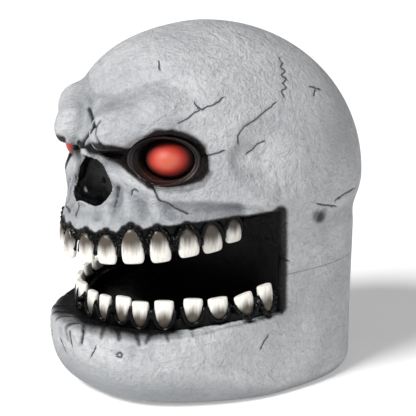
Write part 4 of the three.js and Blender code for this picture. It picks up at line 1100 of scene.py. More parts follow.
# %% [markdown]
# ## Gums
# The gums are glossy black mouldings. Each tooth stands in a raised collar, like a nail in its
# cuticle. The ridge is a copy of the solid, and a bent tube follows the root of each tooth. They could
# be joined edge by edge, but a remesh melts them into one skin, and smoothing takes off the corners.

# %% A collar round each root, in mm: how far it stands out from the tooth, and how deep it starts
COLLAR_OUT, COLLAR_PAST, COLLAR_DEPTH, COLLAR_RISE = 1.9, 3.6, 3.6, 2.5
COLLAR_FROM, COLLAR_TURN = 0.3, 0.45
COLLAR_NEAR, COLLAR_LIFT = 9, 0.2


def collar_line(jaw_part, tooth_shares, sections, side):
    """Points round a root, from its edge side to its tip and back, laid on the skin where that is near."""
    wide, tall, _ = measured(jaw_part)
    half_wide, root = wide * tooth_shares[1] / 2, tall * tooth_shares[2]
    half = [(w * half_wide + COLLAR_OUT, r * (root + ROOT_LONGER))
            for r, w, _ in sections if r >= COLLAR_FROM]
    half[-1] = (0, root + COLLAR_PAST)
    loop = half + [(-x, z) for x, z in half[-2::-1]]
    local = np.array([[x, -COLLAR_DEPTH + COLLAR_RISE * (z < COLLAR_TURN * tall), z] for x, z in loop])
    out = proud_by(jaw_part, tooth_shares)
    for _ in range(3):
        placed = stand(local, jaw_part, tooth_shares, side, tooth_shares[4], out)
        depth = to_clay(placed)
        near = (np.abs(depth) < COLLAR_NEAR) & (local[:, 2] > COLLAR_TURN * tall)
        local[:, 1] = np.where(near, local[:, 1] - (COLLAR_LIFT - depth), local[:, 1])
    return stand(local, jaw_part, tooth_shares, side, tooth_shares[4], out)


# %% A bent tube along each line
def tube(name, lines, radius):
    curve = bpy.data.curves.new(name, "CURVE")
    curve.dimensions, curve.bevel_depth, curve.bevel_resolution = "3D", radius * MM, 3
    curve.use_fill_caps = True
    for line in lines:
        spline = curve.splines.new("BEZIER")
        spline.bezier_points.add(len(line) - 1)
        for knot, point in zip(spline.bezier_points, to_metres(line)):
            knot.co = point
            knot.handle_left_type = knot.handle_right_type = "AUTO"
        spline.resolution_u = 4
    piece = bpy.data.objects.new(name, curve)
    bpy.context.scene.collection.objects.link(piece)
    only(piece)
    bpy.ops.object.convert(target="MESH")
    return named(name)


# %% A block behind each root
def root_plug(jaw_part, tooth_shares, side):
    """A block behind the root that fills the seat of the solid gum round the tooth."""
    wide, tall, deep = measured(jaw_part)
    half, root = wide * tooth_shares[1] / 2 + 1, tall * tooth_shares[2]
    low, high = 0.5 * tall * tooth_shares[2], root + ROOT_LONGER
    outline = [[-half, -1, low], [half, -1, low], [half, -1, high], [-half, -1, high]]
    behind = [[x, deep * 0.5 + 1, z] for x, _, z in outline]
    front, rear = (stand(np.array(ring), jaw_part, tooth_shares, side, tooth_shares[4])
                   for ring in (outline, behind))
    return slab("root_plug", front, (rear - front).mean(0))


# %% Melt ridge, collars and plugs into one skin, in mm
COLLAR_RADIUS, GUM_VOXEL = 2.9, 1.4
WELD = 0.00001  # in metres, how near two points are merged


def joined_gum(node, jaw_part, lines):
    gum = tube(node + "_cast", lines, COLLAR_RADIUS)
    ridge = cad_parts[node].copy()
    ridge.data = ridge.data.copy()
    ridge.parent = None
    bpy.context.scene.collection.objects.link(ridge)
    only(ridge)
    bpy.ops.object.mode_set(mode="EDIT")
    bpy.ops.mesh.select_all(action="SELECT")
    bpy.ops.mesh.remove_doubles(threshold=WELD)
    bpy.ops.object.mode_set(mode="OBJECT")
    plugs = [root_plug(jaw_part, shares, side) for side in (1, -1) for shares in jaw_part["teeth"]]
    bpy.ops.object.select_all(action="DESELECT")
    for part in (ridge, gum, *plugs):
        part.select_set(True)
    bpy.context.view_layer.objects.active = gum
    bpy.ops.object.join()
    apply_modifier(gum, "REMESH", mode="VOXEL", voxel_size=GUM_VOXEL * MM)
    apply_modifier(gum, "SMOOTH", factor=0.5, iterations=3)
    return gum


# %% Between the collars the ridge is pressed back below the bone
RIDGE_SUNK, COLLAR_CLEAR, MOST_PRESSED = 2.5, 3.5, 12


def model_gum(node, jaw_part, sections):
    lines = [collar_line(jaw_part, shares, sections, side)
             for side in (1, -1) for shares in jaw_part["teeth"]]
    gum = joined_gum(node, jaw_part, lines)
    points = to_mm(points_of(gum))
    gap = np.full(len(points), FAR)
    for spot in np.vstack(lines):
        gap = np.minimum(gap, np.linalg.norm(points - spot, axis=1))
    depth = to_clay(points) + RIDGE_SUNK
    proud = (gap > COLLAR_CLEAR) & (depth > 0)
    points[proud] -= slope_of(to_clay, points[proud], 1) * np.minimum(depth[proud], MOST_PRESSED)[:, None]
    set_points(gum, to_metres(points))
    apply_modifier(gum, "SMOOTH", factor=0.5, iterations=4)
    only(gum)
    bpy.ops.object.shade_smooth()
    return gum, lines


upper_gum, upper_collars = model_gum("upper_gum", UPPER, UPPER_SECTIONS)
lower_gum, lower_collars = model_gum("lower_gum", LOWER, LOWER_SECTIONS)
print("gums", len(upper_gum.data.polygons), len(lower_gum.data.polygons), "faces")

# %% [markdown]
# ### Soot along the gums
# Black is also sprayed over the bone along both edges of the mouth, in an arch over every collar. It
# could be drawn as strokes too, but it follows the teeth. So each point of the bone looks for the
# nearest point of a collar or of the mouth's edge, and the nearer that is, the blacker it gets.

# %% Soot round the collars and along the mouth: what is looked at, and how far it reaches, in mm
BEHIND_MOUTH, OVER_MOUTH, COLLAR_HALF = 30, 40, 2.5
SOOT_FROM, SOOT_REACH, CHIN_REACH, CHIN_FROM, CHIN_TO = 1.2, 7, 17, 115, 165
EDGE_FROM, EDGE_REACH, CHIN_EDGE = 0.5, 6, 9


def spray_mouth(piece, collars, rim):
    points = to_mm(points_of(piece))
    from_rim = np.abs(points[:, 2] - edge_height(rim, points[:, 1]))
    near = (points[:, 1] < MOUTH_BACK + BEHIND_MOUTH) & (from_rim < OVER_MOUTH)
    some = points[near]
    gap = np.full(len(some), FAR)
    for spot in np.vstack(collars):
        gap = np.minimum(gap, np.linalg.norm(some - spot, axis=1) - COLLAR_HALF)
    edge = np.abs(some[:, 2] - edge_height(rim, np.minimum(some[:, 1], MOUTH_BACK)))
    behind = np.maximum(some[:, 1] - mouth_back(some[:, 2]), 0)
    lower = some[:, 2] < SEAM_HEIGHT
    reach = SOOT_REACH + CHIN_REACH * lower * smooth_step(-some[:, 1], CHIN_FROM, CHIN_TO)
    line = np.hypot(edge, behind) + CHIN_EDGE * lower * (behind <= 0)
    black = 1 - smooth_step(gap, SOOT_FROM, reach) * smooth_step(line, EDGE_FROM, EDGE_REACH)
    layer = np.empty(len(points), np.float32)
    piece.data.attributes["soot_and_painted_shade"].data.foreach_get("value", layer)
    layer[near] = over(layer[near], black)
    give(piece, "soot_and_painted_shade", layer)
    print(piece.name, "sprayed along the mouth")


spray_mouth(cranium, upper_collars, UPPER_RIM_SHARES)
spray_mouth(jaw, lower_collars, LOWER_RIM_SHARES)

# %% [markdown]
# ## Eyes
# The lens is a blown oval dome with a flange. It could be spun from a profile, but an oval can't. So a
# ball is added, its back half cut away, its rim extruded to the flange, and all of it squeezed.

# %% The lens: where the ball is cut and how wide the flange is, as shares, and its step and wall in mm
LENS_CUT, FLANGE_SHARE, FLANGE_STEP, LENS_WALL = 0.02, 1.18, 0.5, 2


def model_lens(side, name):
    bpy.ops.mesh.primitive_uv_sphere_add(segments=48, ring_count=24, radius=1)
    lens = named(name)
    bpy.ops.object.mode_set(mode="EDIT")
    bpy.ops.mesh.select_all(action="SELECT")
    bpy.ops.mesh.bisect(plane_co=(0, 0, LENS_CUT), plane_no=(0, 0, 1), clear_inner=True)
    bpy.ops.mesh.extrude_edges_move(TRANSFORM_OT_translate={"value": (0, 0, 0)})
    bpy.ops.transform.resize(value=(FLANGE_SHARE, FLANGE_SHARE, 1), center_override=(0, 0, LENS_CUT))
    bpy.ops.object.mode_set(mode="OBJECT")
    x, y, z = points_of(lens).T
    forward = FLANGE_STEP + z * (LENS_DOME - FLANGE_STEP)
    local = np.stack([x * LENS_RADIUS, forward, y * LENS_RADIUS * OVAL], axis=1)
    set_points(lens, to_metres(from_eye(local, side)))
    apply_modifier(lens, "SOLIDIFY", thickness=LENS_WALL * MM, offset=-1)
    only(lens)
    bpy.ops.object.mode_set(mode="EDIT")
    bpy.ops.mesh.select_all(action="SELECT")
    bpy.ops.mesh.normals_make_consistent(inside=False)
    bpy.ops.object.mode_set(mode="OBJECT")
    bpy.ops.object.shade_smooth()
    return lens


lenses = {word: model_lens(side, f"eye_lens_{word}_dome") for side, word in ((1, "left"), (-1, "right"))}
print("lens", len(lenses["left"].data.polygons), "faces")

# %% [markdown]
# ### Lids
# The lids are one soft ring round the lens, with a crease above and below, drawn out to a point towards
# the nose. A spin would give an even ring. So a grid is added and rolled up: its columns go outwards from
# the lens to the skin, its rows go round the eye, and its two ends are merged.

# %% The profile of the lids: share outwards from lens to skin, and how far off the socket in mm
LID_PROFILE = [(-0.04, -2), (0.0, 2.5), (0.09, 5.6), (0.26, 6.4), (0.4, 5.4), (0.47, 3.6), (0.55, 5.0),
               (0.78, 4.2), (0.95, 2.0), (1.02, -2)]
LID_START, LID_WALL, LID_ROWS = 30.2, 1.2, 72
LID_WIDTH, LID_BELOW, LID_POINT, LID_OUTER = 6.0, 3.0, 8.0, 2.5


def lid_point(turn, share, lift):
    """A point on the lids, seen from the eye; turn 0 points away from the nose."""
    toward_nose = max(0.0, -math.cos(turn)) ** 6
    width = LID_WIDTH + LID_BELOW * max(0.0, -math.sin(turn)) + LID_POINT * toward_nose
    width += LID_OUTER * max(0.0, math.cos(turn)) ** 4
    outward = np.array([math.cos(turn), math.sin(turn) / OVAL])
    outward /= np.linalg.norm(outward)
    start = np.array([LID_START * math.cos(turn), LID_START * OVAL * math.sin(turn)])
    flat = start + outward * width * share
    (out, forward, _), (wide, deep, tall) = BOWL
    round_off = max(0.03, 1 - ((flat[0] - out) / wide) ** 2 - (flat[1] / tall) ** 2)
    return [flat[0], forward - deep * math.sqrt(round_off) + lift, flat[1]]


# %% Roll a grid up to the lids
def model_lids(side, name):
    columns = len(LID_PROFILE) - 1
    bpy.ops.mesh.primitive_grid_add(x_subdivisions=columns, y_subdivisions=LID_ROWS, size=2)
    lids = named(name)
    grid = points_of(lids)
    column = np.round((grid[:, 0] + 1) / 2 * columns).astype(int)
    local = [lid_point((gy + 1) * math.pi, *LID_PROFILE[c]) for (_, gy, _), c in zip(grid, column)]
    set_points(lids, to_metres(from_eye(local, side)))
    give(lids, "outward", grid[:, 0] / 2 + 0.5)
    bpy.ops.object.mode_set(mode="EDIT")
    bpy.ops.mesh.select_all(action="SELECT")
    bpy.ops.mesh.remove_doubles(threshold=WELD)
    bpy.ops.mesh.normals_make_consistent(inside=False)
    bpy.ops.object.mode_set(mode="OBJECT")
    apply_modifier(lids, "SUBSURF", levels=1, render_levels=1)
    only(lids)
    if vertex_normals(lids)[:, 1].mean() > 0:
        lids.data.flip_normals()
    apply_modifier(lids, "SOLIDIFY", thickness=LID_WALL * MM, offset=-1)
    only(lids)
    bpy.ops.object.shade_smooth()
    return lids


lids = {word: model_lids(side, f"eyelid_{word}_fold") for side, word in ((1, "left"), (-1, "right"))}
print("lids", len(lids["left"].data.polygons), "faces")

# %% [markdown]
# ## Nose
# A black cup closes the pear-shaped hole. It could be extruded from the filled pear, but its rim has to
# follow the slope of the face. So a grid is rolled along the outline and drawn in ring by ring towards
# the back of the head, and three lumps are pushed out of its wall, which catch the light.

# %% Where the face starts, for each point of an outline
def skin_front(loop):
    """The depth along Y at which the clay starts, found by halving."""
    low, high = np.full(len(loop), -240.0), np.full(len(loop), -60.0)
    for _ in range(14):
        middle = (low + high) / 2
        outside_clay = to_clay(np.stack([loop[:, 0], middle, loop[:, 1]], axis=1)) > 0
        low, high = np.where(outside_clay, middle, low), np.where(outside_clay, high, middle)
    return low


# %% The rings of the cup, as shares of its depth and width, and the lumps: centre, radius and push in mm
CUP_POINTS, CUP_GROW, CUP_SUNK, CUP_LATEST, CUP_WALL, CUP_WELD = 48, 2.2, 5, 8, 2, 0.00005
CUP_DEPTH_SHARES = [0, 0.16, 0.34, 0.52, 0.7, 0.84, 0.94, 1, 1.01]
CUP_WIDTH_SHARES = [1, 1, 0.98, 0.95, 0.9, 0.8, 0.62, 0.3, 0.01]
CUP_LUMPS = [([26, -176, 264], 15, 7), ([22, -172, 250], 12, 5), ([-24, -174, 260], 14, 6)]
CUP_HEART = -160


def cup_points(grid, outline):
    rings = len(CUP_DEPTH_SHARES) - 1
    start = np.maximum(skin_front(outline) + CUP_SUNK, NOSE_FRONT + CUP_LATEST)
    middle = outline.mean(0)
    placed = []
    for gx, gy, _ in grid:
        i = int(round((gx + 1) / 2 * CUP_POINTS)) % CUP_POINTS
        k = int(round((gy + 1) / 2 * rings))
        x, z = middle + (outline[i] - middle) * CUP_WIDTH_SHARES[k]
        placed.append([x, start[i] + CUP_DEPTH_SHARES[k] * (NOSE_FRONT + NOSE_DEPTH - 1 - start[i]), z])
    placed = np.array(placed)
    for centre, radius, push in CUP_LUMPS:
        far = np.linalg.norm(placed - centre, axis=1)
        toward = [middle[0], CUP_HEART, middle[1]] - placed
        toward /= np.linalg.norm(toward, axis=1)[:, None]
        placed += toward * (push * np.exp(-(far / radius) ** 2))[:, None]
    return placed


# %% The nose cup
def model_nose():
    rings = len(CUP_DEPTH_SHARES) - 1
    bpy.ops.mesh.primitive_grid_add(x_subdivisions=CUP_POINTS, y_subdivisions=rings, size=2)
    cup = named("nose_cup")
    set_points(cup, to_metres(cup_points(points_of(cup), nose_loop(CUP_GROW, CUP_POINTS))))
    bpy.ops.object.mode_set(mode="EDIT")
    bpy.ops.mesh.select_all(action="SELECT")
    bpy.ops.mesh.remove_doubles(threshold=CUP_WELD)
    bpy.ops.mesh.normals_make_consistent(inside=False)
    bpy.ops.object.mode_set(mode="OBJECT")
    apply_modifier(cup, "SUBSURF", levels=1, render_levels=1)
    if vertex_normals(cup)[:, 1].mean() > 0:
        cup.data.flip_normals()
    apply_modifier(cup, "SOLIDIFY", thickness=CUP_WALL * MM, offset=-1)
    only(cup)
    bpy.ops.object.shade_smooth()
    return cup


nose_cup = model_nose()
print("nose cup", len(nose_cup.data.polygons), "faces")

# %% [markdown]
# ## Finishes
# Each finish is drawn by nodes from what the real material is. A photograph could be laid on instead, but
# it would hold one light and one view. One small function adds a node with its settings and links, one
# turns a screen colour to linear, and one turns a size in mm to the scale of a pattern.

# %% Colours, nodes and scales
def colour(hex_value):
    channels = [int(hex_value[i:i + 2], 16) / 255 for i in (1, 3, 5)]
    return [c / 12.92 if c <= 0.04045 else ((c + 0.055) / 1.055) ** 2.4 for c in channels] + [1]


def add_node(tree, kind, inputs=None, output=0, **settings):
    """Adds a node; an input is a value or another node's socket. Gives back one of its outputs."""
    node = tree.nodes.new("ShaderNode" + kind)
    for key, value in settings.items():
        setattr(node, key, value)
    for key, value in (inputs or {}).items():
        if isinstance(value, bpy.types.NodeSocket):
            tree.links.new(value, node.inputs[key])
        else:
            node.inputs[key].default_value = value
    return node.outputs[output] if len(node.outputs) else node


def scale_for(size_mm):
    """The scale of a pattern whose grains are this many mm wide."""
    return 1000 / size_mm


# %% A new material, and what its shader gets
def new_material(name):
    material = bpy.data.materials.new(name)
    material.use_nodes = True
    return material, material.node_tree, material.node_tree.nodes["Principled BSDF"]


def finish(shader, roughness, ior=1.5, **sockets):
    """Sets the shader's own sockets and links its patterns."""
    shader.inputs["IOR"].default_value = ior
    sockets["Roughness"] = roughness
    for key, value in sockets.items():
        socket = shader.inputs[key.replace("_", " ")]
        if isinstance(value, bpy.types.NodeSocket):
            shader.id_data.links.new(value, socket)
        else:
            socket.default_value = value


# %% [markdown]
# ### Bone
# The skull is moulded in cool grey plastic. Its mould was wrinkled and pitted, and their low parts get
# painted shade.
# A thin dark wash has run into the hollows and a pale brush has touched the ridges, partly as real paint and
# partly as painted shade and painted highlight. Black was sprayed over it, with painted shade in the same
# layer, so it goes from satin grey to a slightly glossier black. Real wrinkles and pits are about a
# millimetre wide, too fine to show in the render. They are drawn two to eight times as coarse.

# %% Grey: patches in the plastic, then each layer darkens or lightens where its pattern lies in a range. The wash and the brushing are partly painted shade and painted highlight, and wrinkles and pits get painted shade where they are low
BONE_LAYERS = [("wash_and_painted_shade", 0.05, 0.9, 0.0, 0.75, "#63676c"), ("brushed_and_painted_highlight", 0.1, 0.8, 0.0, 0.45, "#d4d6d7"),
               ("wrinkles", 0.32, 0.5, 0.4, 0.0, "#8c8f93"), ("pits", 0.05, 0.2, 0.35, 0.0, "#7d8084")]


def bone_grey(tree, place, patterns):
    patches = add_node(tree, "TexNoise", {"Vector": place, "Scale": scale_for(70), "Detail": 3,
                                          "Roughness": 0.6})
    share = add_node(tree, "MapRange", {0: patches, 1: 0.35, 2: 0.65})
    grey = add_node(tree, "Mix", {0: share, 6: colour("#b0b1b4"), 7: colour("#c5c6c8")}, 2, data_type="RGBA")
    for name, low, high, share_low, share_high, tone in BONE_LAYERS:
        share = add_node(tree, "MapRange", {0: patterns[name], 1: low, 2: high, 3: share_low, 4: share_high})
        grey = add_node(tree, "Mix", {0: share, 6: grey, 7: colour(tone)}, 2, data_type="RGBA")
    return grey


# %% Cracks: a dark core that wanders 1.6 picture points off its line, and fades out where the line ends
def bone_cracks(tree, place, marks):
    jagged = add_node(tree, "TexNoise", {"Vector": place, "Scale": scale_for(6), "Detail": 3})
    jagged = add_node(tree, "MapRange", {0: jagged, 1: 0.0, 2: 1.0, 3: -1.6, 4: 1.6})
    off = add_node(tree, "Math", {0: marks["crack_side"], 1: jagged}, operation="ADD")
    off = add_node(tree, "Math", {0: off}, operation="ABSOLUTE")
    core = add_node(tree, "MapRange", {0: off, 1: 0.2, 2: 1.15, 3: 0.9, 4: 0.0},
                    interpolation_type="SMOOTHSTEP")
    reach = add_node(tree, "MapRange", {0: marks["crack_near"], 1: 1.2, 2: 3.0, 3: 1.0, 4: 0.0})
    return add_node(tree, "Math", {0: core, 1: reach}, operation="MULTIPLY")


# %% Sprayed black, with painted shade in the same layer: speckled where it thins out, and a little brown on the skin of the lids
def bone_spray_and_painted_shade(tree, place, marks):
    soot_and_painted_shade = marks["soot_and_painted_shade"]
    speckle = add_node(tree, "TexNoise", {"Vector": place, "Scale": scale_for(2.2), "Detail": 4,
                                          "Roughness": 0.7})
    speckle = add_node(tree, "MapRange", {0: speckle, 1: 0.0, 2: 1.0, 3: -0.35, 4: 0.35})
    rough_edge = add_node(tree, "Math", {0: soot_and_painted_shade, 1: speckle}, operation="ADD")
    share = add_node(tree, "Mix", {0: soot_and_painted_shade, 2: soot_and_painted_shade, 3: rough_edge}, data_type="FLOAT")
    share = add_node(tree, "MapRange", {0: share, 1: 0.08, 2: 0.85}, interpolation_type="SMOOTHSTEP")
    black = add_node(tree, "Mix", {0: marks["lid_skin"], 6: colour("#070708"), 7: colour("#110a09")}, 2,
                     data_type="RGBA")
    return share, black


# %% Height: wrinkles, a finer grain on them, edges of pits, broad swells, and the cracks pressed in
def bone_height(tree, place, patterns, crack):
    grain = add_node(tree, "TexNoise", {"Vector": place, "Scale": scale_for(2.8), "Detail": 3,
                                        "Roughness": 0.6})
    height = add_node(tree, "Math", {0: grain, 1: 0.32, 2: patterns["wrinkles"]}, operation="MULTIPLY_ADD")
    edges = add_node(tree, "MapRange", {0: patterns["pits"], 1: 0.05, 2: 0.35, 3: -0.16, 4: 0.0})
    height = add_node(tree, "Math", {0: height, 1: edges}, operation="ADD")
    swells = add_node(tree, "TexNoise", {"Vector": place, "Scale": scale_for(21), "Detail": 2,
                                         "Distortion": 1.6})
    height = add_node(tree, "Math", {0: swells, 1: 1.1, 2: height}, operation="MULTIPLY_ADD")
    return add_node(tree, "Math", {0: crack, 1: -0.7, 2: height}, operation="MULTIPLY_ADD")


# %% Cool grey moulded plastic: soft, wide highlights on the grey, tighter ones on the sprayed black
def bone_finish():
    material, tree, shader = new_material("grey_moulded_plastic_bone")
    place = add_node(tree, "TexCoord", output="Object")
    marks = {name: add_node(tree, "Attribute", output="Fac", attribute_name=name)
             for name in ("soot_and_painted_shade", "crack_near", "crack_side", "lid_skin", "wash_and_painted_shade", "brushed_and_painted_highlight")}
    patterns = {"wash_and_painted_shade": marks["wash_and_painted_shade"], "brushed_and_painted_highlight": marks["brushed_and_painted_highlight"]}
    patterns["wrinkles"] = add_node(tree, "TexNoise", {"Vector": place, "Scale": scale_for(8), "Detail": 6,
                                                       "Roughness": 0.66, "Distortion": 1.2})
    patterns["pits"] = add_node(tree, "TexVoronoi", {"Vector": place, "Scale": scale_for(6.5)})
    crack = bone_cracks(tree, place, marks)
    grey = add_node(tree, "Mix", {0: crack, 6: bone_grey(tree, place, patterns), 7: colour("#484b4f")}, 2,
                    data_type="RGBA")
    share, black = bone_spray_and_painted_shade(tree, place, marks)
    final = add_node(tree, "Mix", {0: share, 6: grey, 7: black}, 2, data_type="RGBA")
    sheen = add_node(tree, "MapRange", {0: share, 3: 0.6, 4: 0.42})
    height = bone_height(tree, place, patterns, crack)
    bump = add_node(tree, "Bump", {"Height": height, "Distance": 3.6 * MM, "Strength": 1.0})
    finish(shader, sheen, 1.46, Base_Color=final, Normal=bump, Specular_IOR_Level=0.25)
    print("bone finish:", len(tree.nodes), "nodes")
    return material


# %% [markdown]
# ### Teeth
# The teeth are cast in ivory resin, stained brown from the root down, with streaks that run along the
# tooth, and glossed. The stain follows the rise that each point of a tooth was given, wanders, is weaker
# at the sides, and starts at another height on each tooth. Streaks are drawn 2 mm wide, so that they show.

# %% The stain, between 0 at the clean edge and 0.97 at the root
def tooth_stain(tree, tall_place):
    rise, across, own = (add_node(tree, "Attribute", output="Fac", attribute_name=name)
                         for name in ("rise", "across", "own"))
    wander = add_node(tree, "TexNoise", {"Vector": tall_place, "Scale": scale_for(4), "Detail": 3})
    wander = add_node(tree, "Math", {0: wander, 1: 0.35, 2: rise}, operation="MULTIPLY_ADD")
    stain = add_node(tree, "Math", {0: own, 1: 0.12, 2: wander}, operation="MULTIPLY_ADD")
    away = add_node(tree, "Math", {0: across}, operation="ABSOLUTE")
    stain = add_node(tree, "Math", {0: away, 1: -0.22, 2: stain}, operation="MULTIPLY_ADD")
    return add_node(tree, "MapRange", {0: stain, 1: 0.34, 2: 0.86, 3: 0.0, 4: 0.97},
                    interpolation_type="SMOOTHSTEP")


# %% Cast ivory resin: hard and smooth, so it takes small bright highlights over the streaks
def tooth_finish():
    material, tree, shader = new_material("ivory_cast_resin_teeth")
    place = add_node(tree, "TexCoord", output="Object")
    tall_place = add_node(tree, "Mapping", {"Vector": place, "Scale": (1, 1, 0.12)})
    streaks = add_node(tree, "TexNoise", {"Vector": tall_place, "Scale": scale_for(1.9), "Detail": 3,
                                          "Roughness": 0.6})
    share = add_node(tree, "MapRange", {0: streaks, 1: 0.35, 2: 0.7})
    ivory = add_node(tree, "Mix", {0: share, 6: colour("#d6d1c8"), 7: colour("#f4f2ec")}, 2, data_type="RGBA")
    brown = tooth_stain(tree, tall_place)
    shade = add_node(tree, "Mix", {0: brown, 6: ivory, 7: colour("#3c3226")}, 2, data_type="RGBA")
    swell = add_node(tree, "TexNoise", {"Vector": place, "Scale": scale_for(7), "Detail": 2})
    height = add_node(tree, "Math", {0: streaks, 1: 1.0, 2: swell}, operation="MULTIPLY_ADD")
    bump = add_node(tree, "Bump", {"Height": height, "Distance": 0.4 * MM})
    finish(shader, 0.34, Base_Color=shade, Normal=bump)
    print("tooth finish:", len(tree.nodes), "nodes")
    return material


# %% [markdown]
# ### Gums, nose and mouth
# These are moulded in black plastic and glossed as if wet. A black piece shows its form only by its
# highlights, so soft folds are laid on it that break them up. The folds are 6 to 16 mm wide.

# %% Glossy black moulded plastic: nearly black all over, with broken highlights
def gum_finish(name, tone, roughness, fold_mm):
    material, tree, shader = new_material(name)
    place = add_node(tree, "TexCoord", output="Object")
    folds = add_node(tree, "TexNoise", {"Vector": place, "Scale": scale_for(fold_mm), "Detail": 4,
                                        "Roughness": 0.6, "Distortion": 0.8})
    share = add_node(tree, "MapRange", {0: folds, 1: 0.3, 2: 0.7})
    shade = add_node(tree, "Mix", {0: share, 6: colour("#030304"), 7: colour(tone)}, 2, data_type="RGBA")
    haze = add_node(tree, "TexNoise", {"Vector": place, "Scale": scale_for(11), "Detail": 3})
    haze = add_node(tree, "MapRange", {0: haze, 1: 0.3, 2: 0.7, 3: roughness - 0.06, 4: roughness + 0.14})
    bump = add_node(tree, "Bump", {"Height": folds, "Distance": 0.4 * MM})
    finish(shader, haze, Base_Color=shade, Normal=bump, Specular_IOR_Level=0.14)
    return material


# %% [markdown]
# ### Lenses
# A lens is milky red acrylic with a lamp behind it. Real milky plastic could be rendered with light that
# scatters inside it, but that is slow and grainy. So a ramp of reds follows how squarely the dome faces
# forward: bright in the middle, dark at the rim, and darkest towards the nose, which is painted shade of the
# socket.

# %% Milky red acrylic: a soft glow with hardly a highlight. The look is where the glow is brightest
LOOK_TURN, LOOK_UP = math.radians(40), 0.06
RED_STOPS = [(0.5, "#0a0203"), (0.66, "#2e0907"), (0.8, "#7d1a10"), (0.91, "#ab2e1d")]
RED_FIRST, RED_LAST, RED_SHADE_NEAR_NOSE = "#060202", "#b9523d", "#1a0504"


def lens_level(tree, place, cloud, side):
    local = add_node(tree, "VectorMath", {0: place, 1: tuple(to_metres(EYE * [side, 1, 1]))},
                     operation="SUBTRACT")
    ball = add_node(tree, "VectorMath", {0: local, 1: (1, 1, 1 / OVAL)}, operation="MULTIPLY")
    ball = add_node(tree, "VectorMath", {0: ball}, operation="NORMALIZE")
    look = Vector((side * math.sin(LOOK_TURN), -math.cos(LOOK_TURN), LOOK_UP)).normalized()
    level = add_node(tree, "VectorMath", {0: ball, 1: tuple(look)}, "Value", operation="DOT_PRODUCT")
    return add_node(tree, "Math", {0: cloud, 1: 0.06, 2: level}, operation="MULTIPLY_ADD")


def lens_finish(side, name):
    material, tree, shader = new_material(name)
    place = add_node(tree, "TexCoord", output="Object")
    cloud = add_node(tree, "TexNoise", {"Vector": place, "Scale": scale_for(9), "Detail": 3})
    ramp = tree.nodes.new("ShaderNodeValToRGB")
    tree.links.new(lens_level(tree, place, cloud, side), ramp.inputs[0])
    stops = ramp.color_ramp.elements
    for position, tone in RED_STOPS:
        stops.new(position).color = colour(tone)
    stops[0].color = colour(RED_FIRST)
    stops[-1].color = colour(RED_LAST)
    # Painted shade of the socket darkens the lens towards the nose
    inward = add_node(tree, "SeparateXYZ", {0: place}, "X")
    inward = add_node(tree, "Math", {0: inward, 1: side}, operation="MULTIPLY")
    share = add_node(tree, "MapRange", {0: inward, 1: 50 * MM, 2: 68 * MM, 3: 0.9, 4: 0.0},
                     interpolation_type="SMOOTHSTEP")
    red = add_node(tree, "Mix", {0: share, 6: ramp.outputs[0], 7: colour(RED_SHADE_NEAR_NOSE)}, 2, data_type="RGBA")
    bump = add_node(tree, "Bump", {"Height": cloud, "Distance": 0.15 * MM})
    finish(shader, 0.55, 1.49, Base_Color=red, Emission_Color=red,
           Emission_Strength=0.12, Normal=bump)
    return material


# %% [markdown]
# ### Lids
# The lids are soft vinyl, brown-black, with fine folds that run round the eye. Next to the lens they get a
# painted red glow, along each fold a thin painted highlight, and under the brow and towards the nose painted
# shade.
# The folds follow the share outwards that each point was given. Real ones are a fraction of a millimetre
# apart, and are drawn several times as coarse.

# %% Where a lid gets painted red glow, painted highlight or painted shade: pattern, range, how much at its ends, and tone
def lid_layers(rise, inward, outward, lines):
    low, high = (EYE[2] - 7) * MM, (EYE[2] + 7) * MM
    # In turn: painted red glow next to the lens, a painted highlight on each fold, and painted shade under
    # the brow and towards the nose
    return [(outward, 0.05, 0.34, 0.6, 0.0, "LINEAR", "#4a1a12"),
            (lines, 0.86, 1.0, 0.0, 0.4, "LINEAR", "#6e5d56"),
            (rise, low, high, 0.0, 0.86, "SMOOTHSTEP", "#0b0707"),
            (inward, 56 * MM, 72 * MM, 0.85, 0.0, "SMOOTHSTEP", "#0b0707")]


# %% Soft brown-black vinyl: half matt, with a thin painted highlight along each fold
def lid_finish():
    material, tree, shader = new_material("brown_black_vinyl_lids")
    place = add_node(tree, "TexCoord", output="Object")
    outward = add_node(tree, "Attribute", output="Fac", attribute_name="outward")
    folds = add_node(tree, "TexNoise", {"Vector": place, "Scale": scale_for(3.5), "Detail": 4,
                                        "Roughness": 0.65, "Distortion": 0.5})
    wave = add_node(tree, "Math", {0: folds, 1: 4.0}, operation="MULTIPLY")
    wave = add_node(tree, "Math", {0: outward, 1: 26.0, 2: wave}, operation="MULTIPLY_ADD")
    lines = add_node(tree, "Math", {0: wave}, operation="SINE")
    share = add_node(tree, "MapRange", {0: folds, 1: 0.3, 2: 0.7})
    brown = add_node(tree, "Mix", {0: share, 6: colour("#0e0807"), 7: colour("#2e1d19")}, 2, data_type="RGBA")
    rise = add_node(tree, "SeparateXYZ", {0: place}, "Z")
    inward = add_node(tree, "SeparateXYZ", {0: place}, "X")
    inward = add_node(tree, "Math", {0: inward}, operation="ABSOLUTE")
    for pattern, low, high, share_low, share_high, way, tone in lid_layers(rise, inward, outward, lines):
        share = add_node(tree, "MapRange", {0: pattern, 1: low, 2: high, 3: share_low, 4: share_high},
                         interpolation_type=way)
        brown = add_node(tree, "Mix", {0: share, 6: brown, 7: colour(tone)}, 2, data_type="RGBA")
    height = add_node(tree, "Math", {0: lines, 1: 0.3, 2: folds}, operation="MULTIPLY_ADD")
    bump = add_node(tree, "Bump", {"Height": height, "Distance": 0.6 * MM})
    finish(shader, 0.42, Base_Color=brown, Normal=bump)
    print("lid finish:", len(tree.nodes), "nodes")
    return material


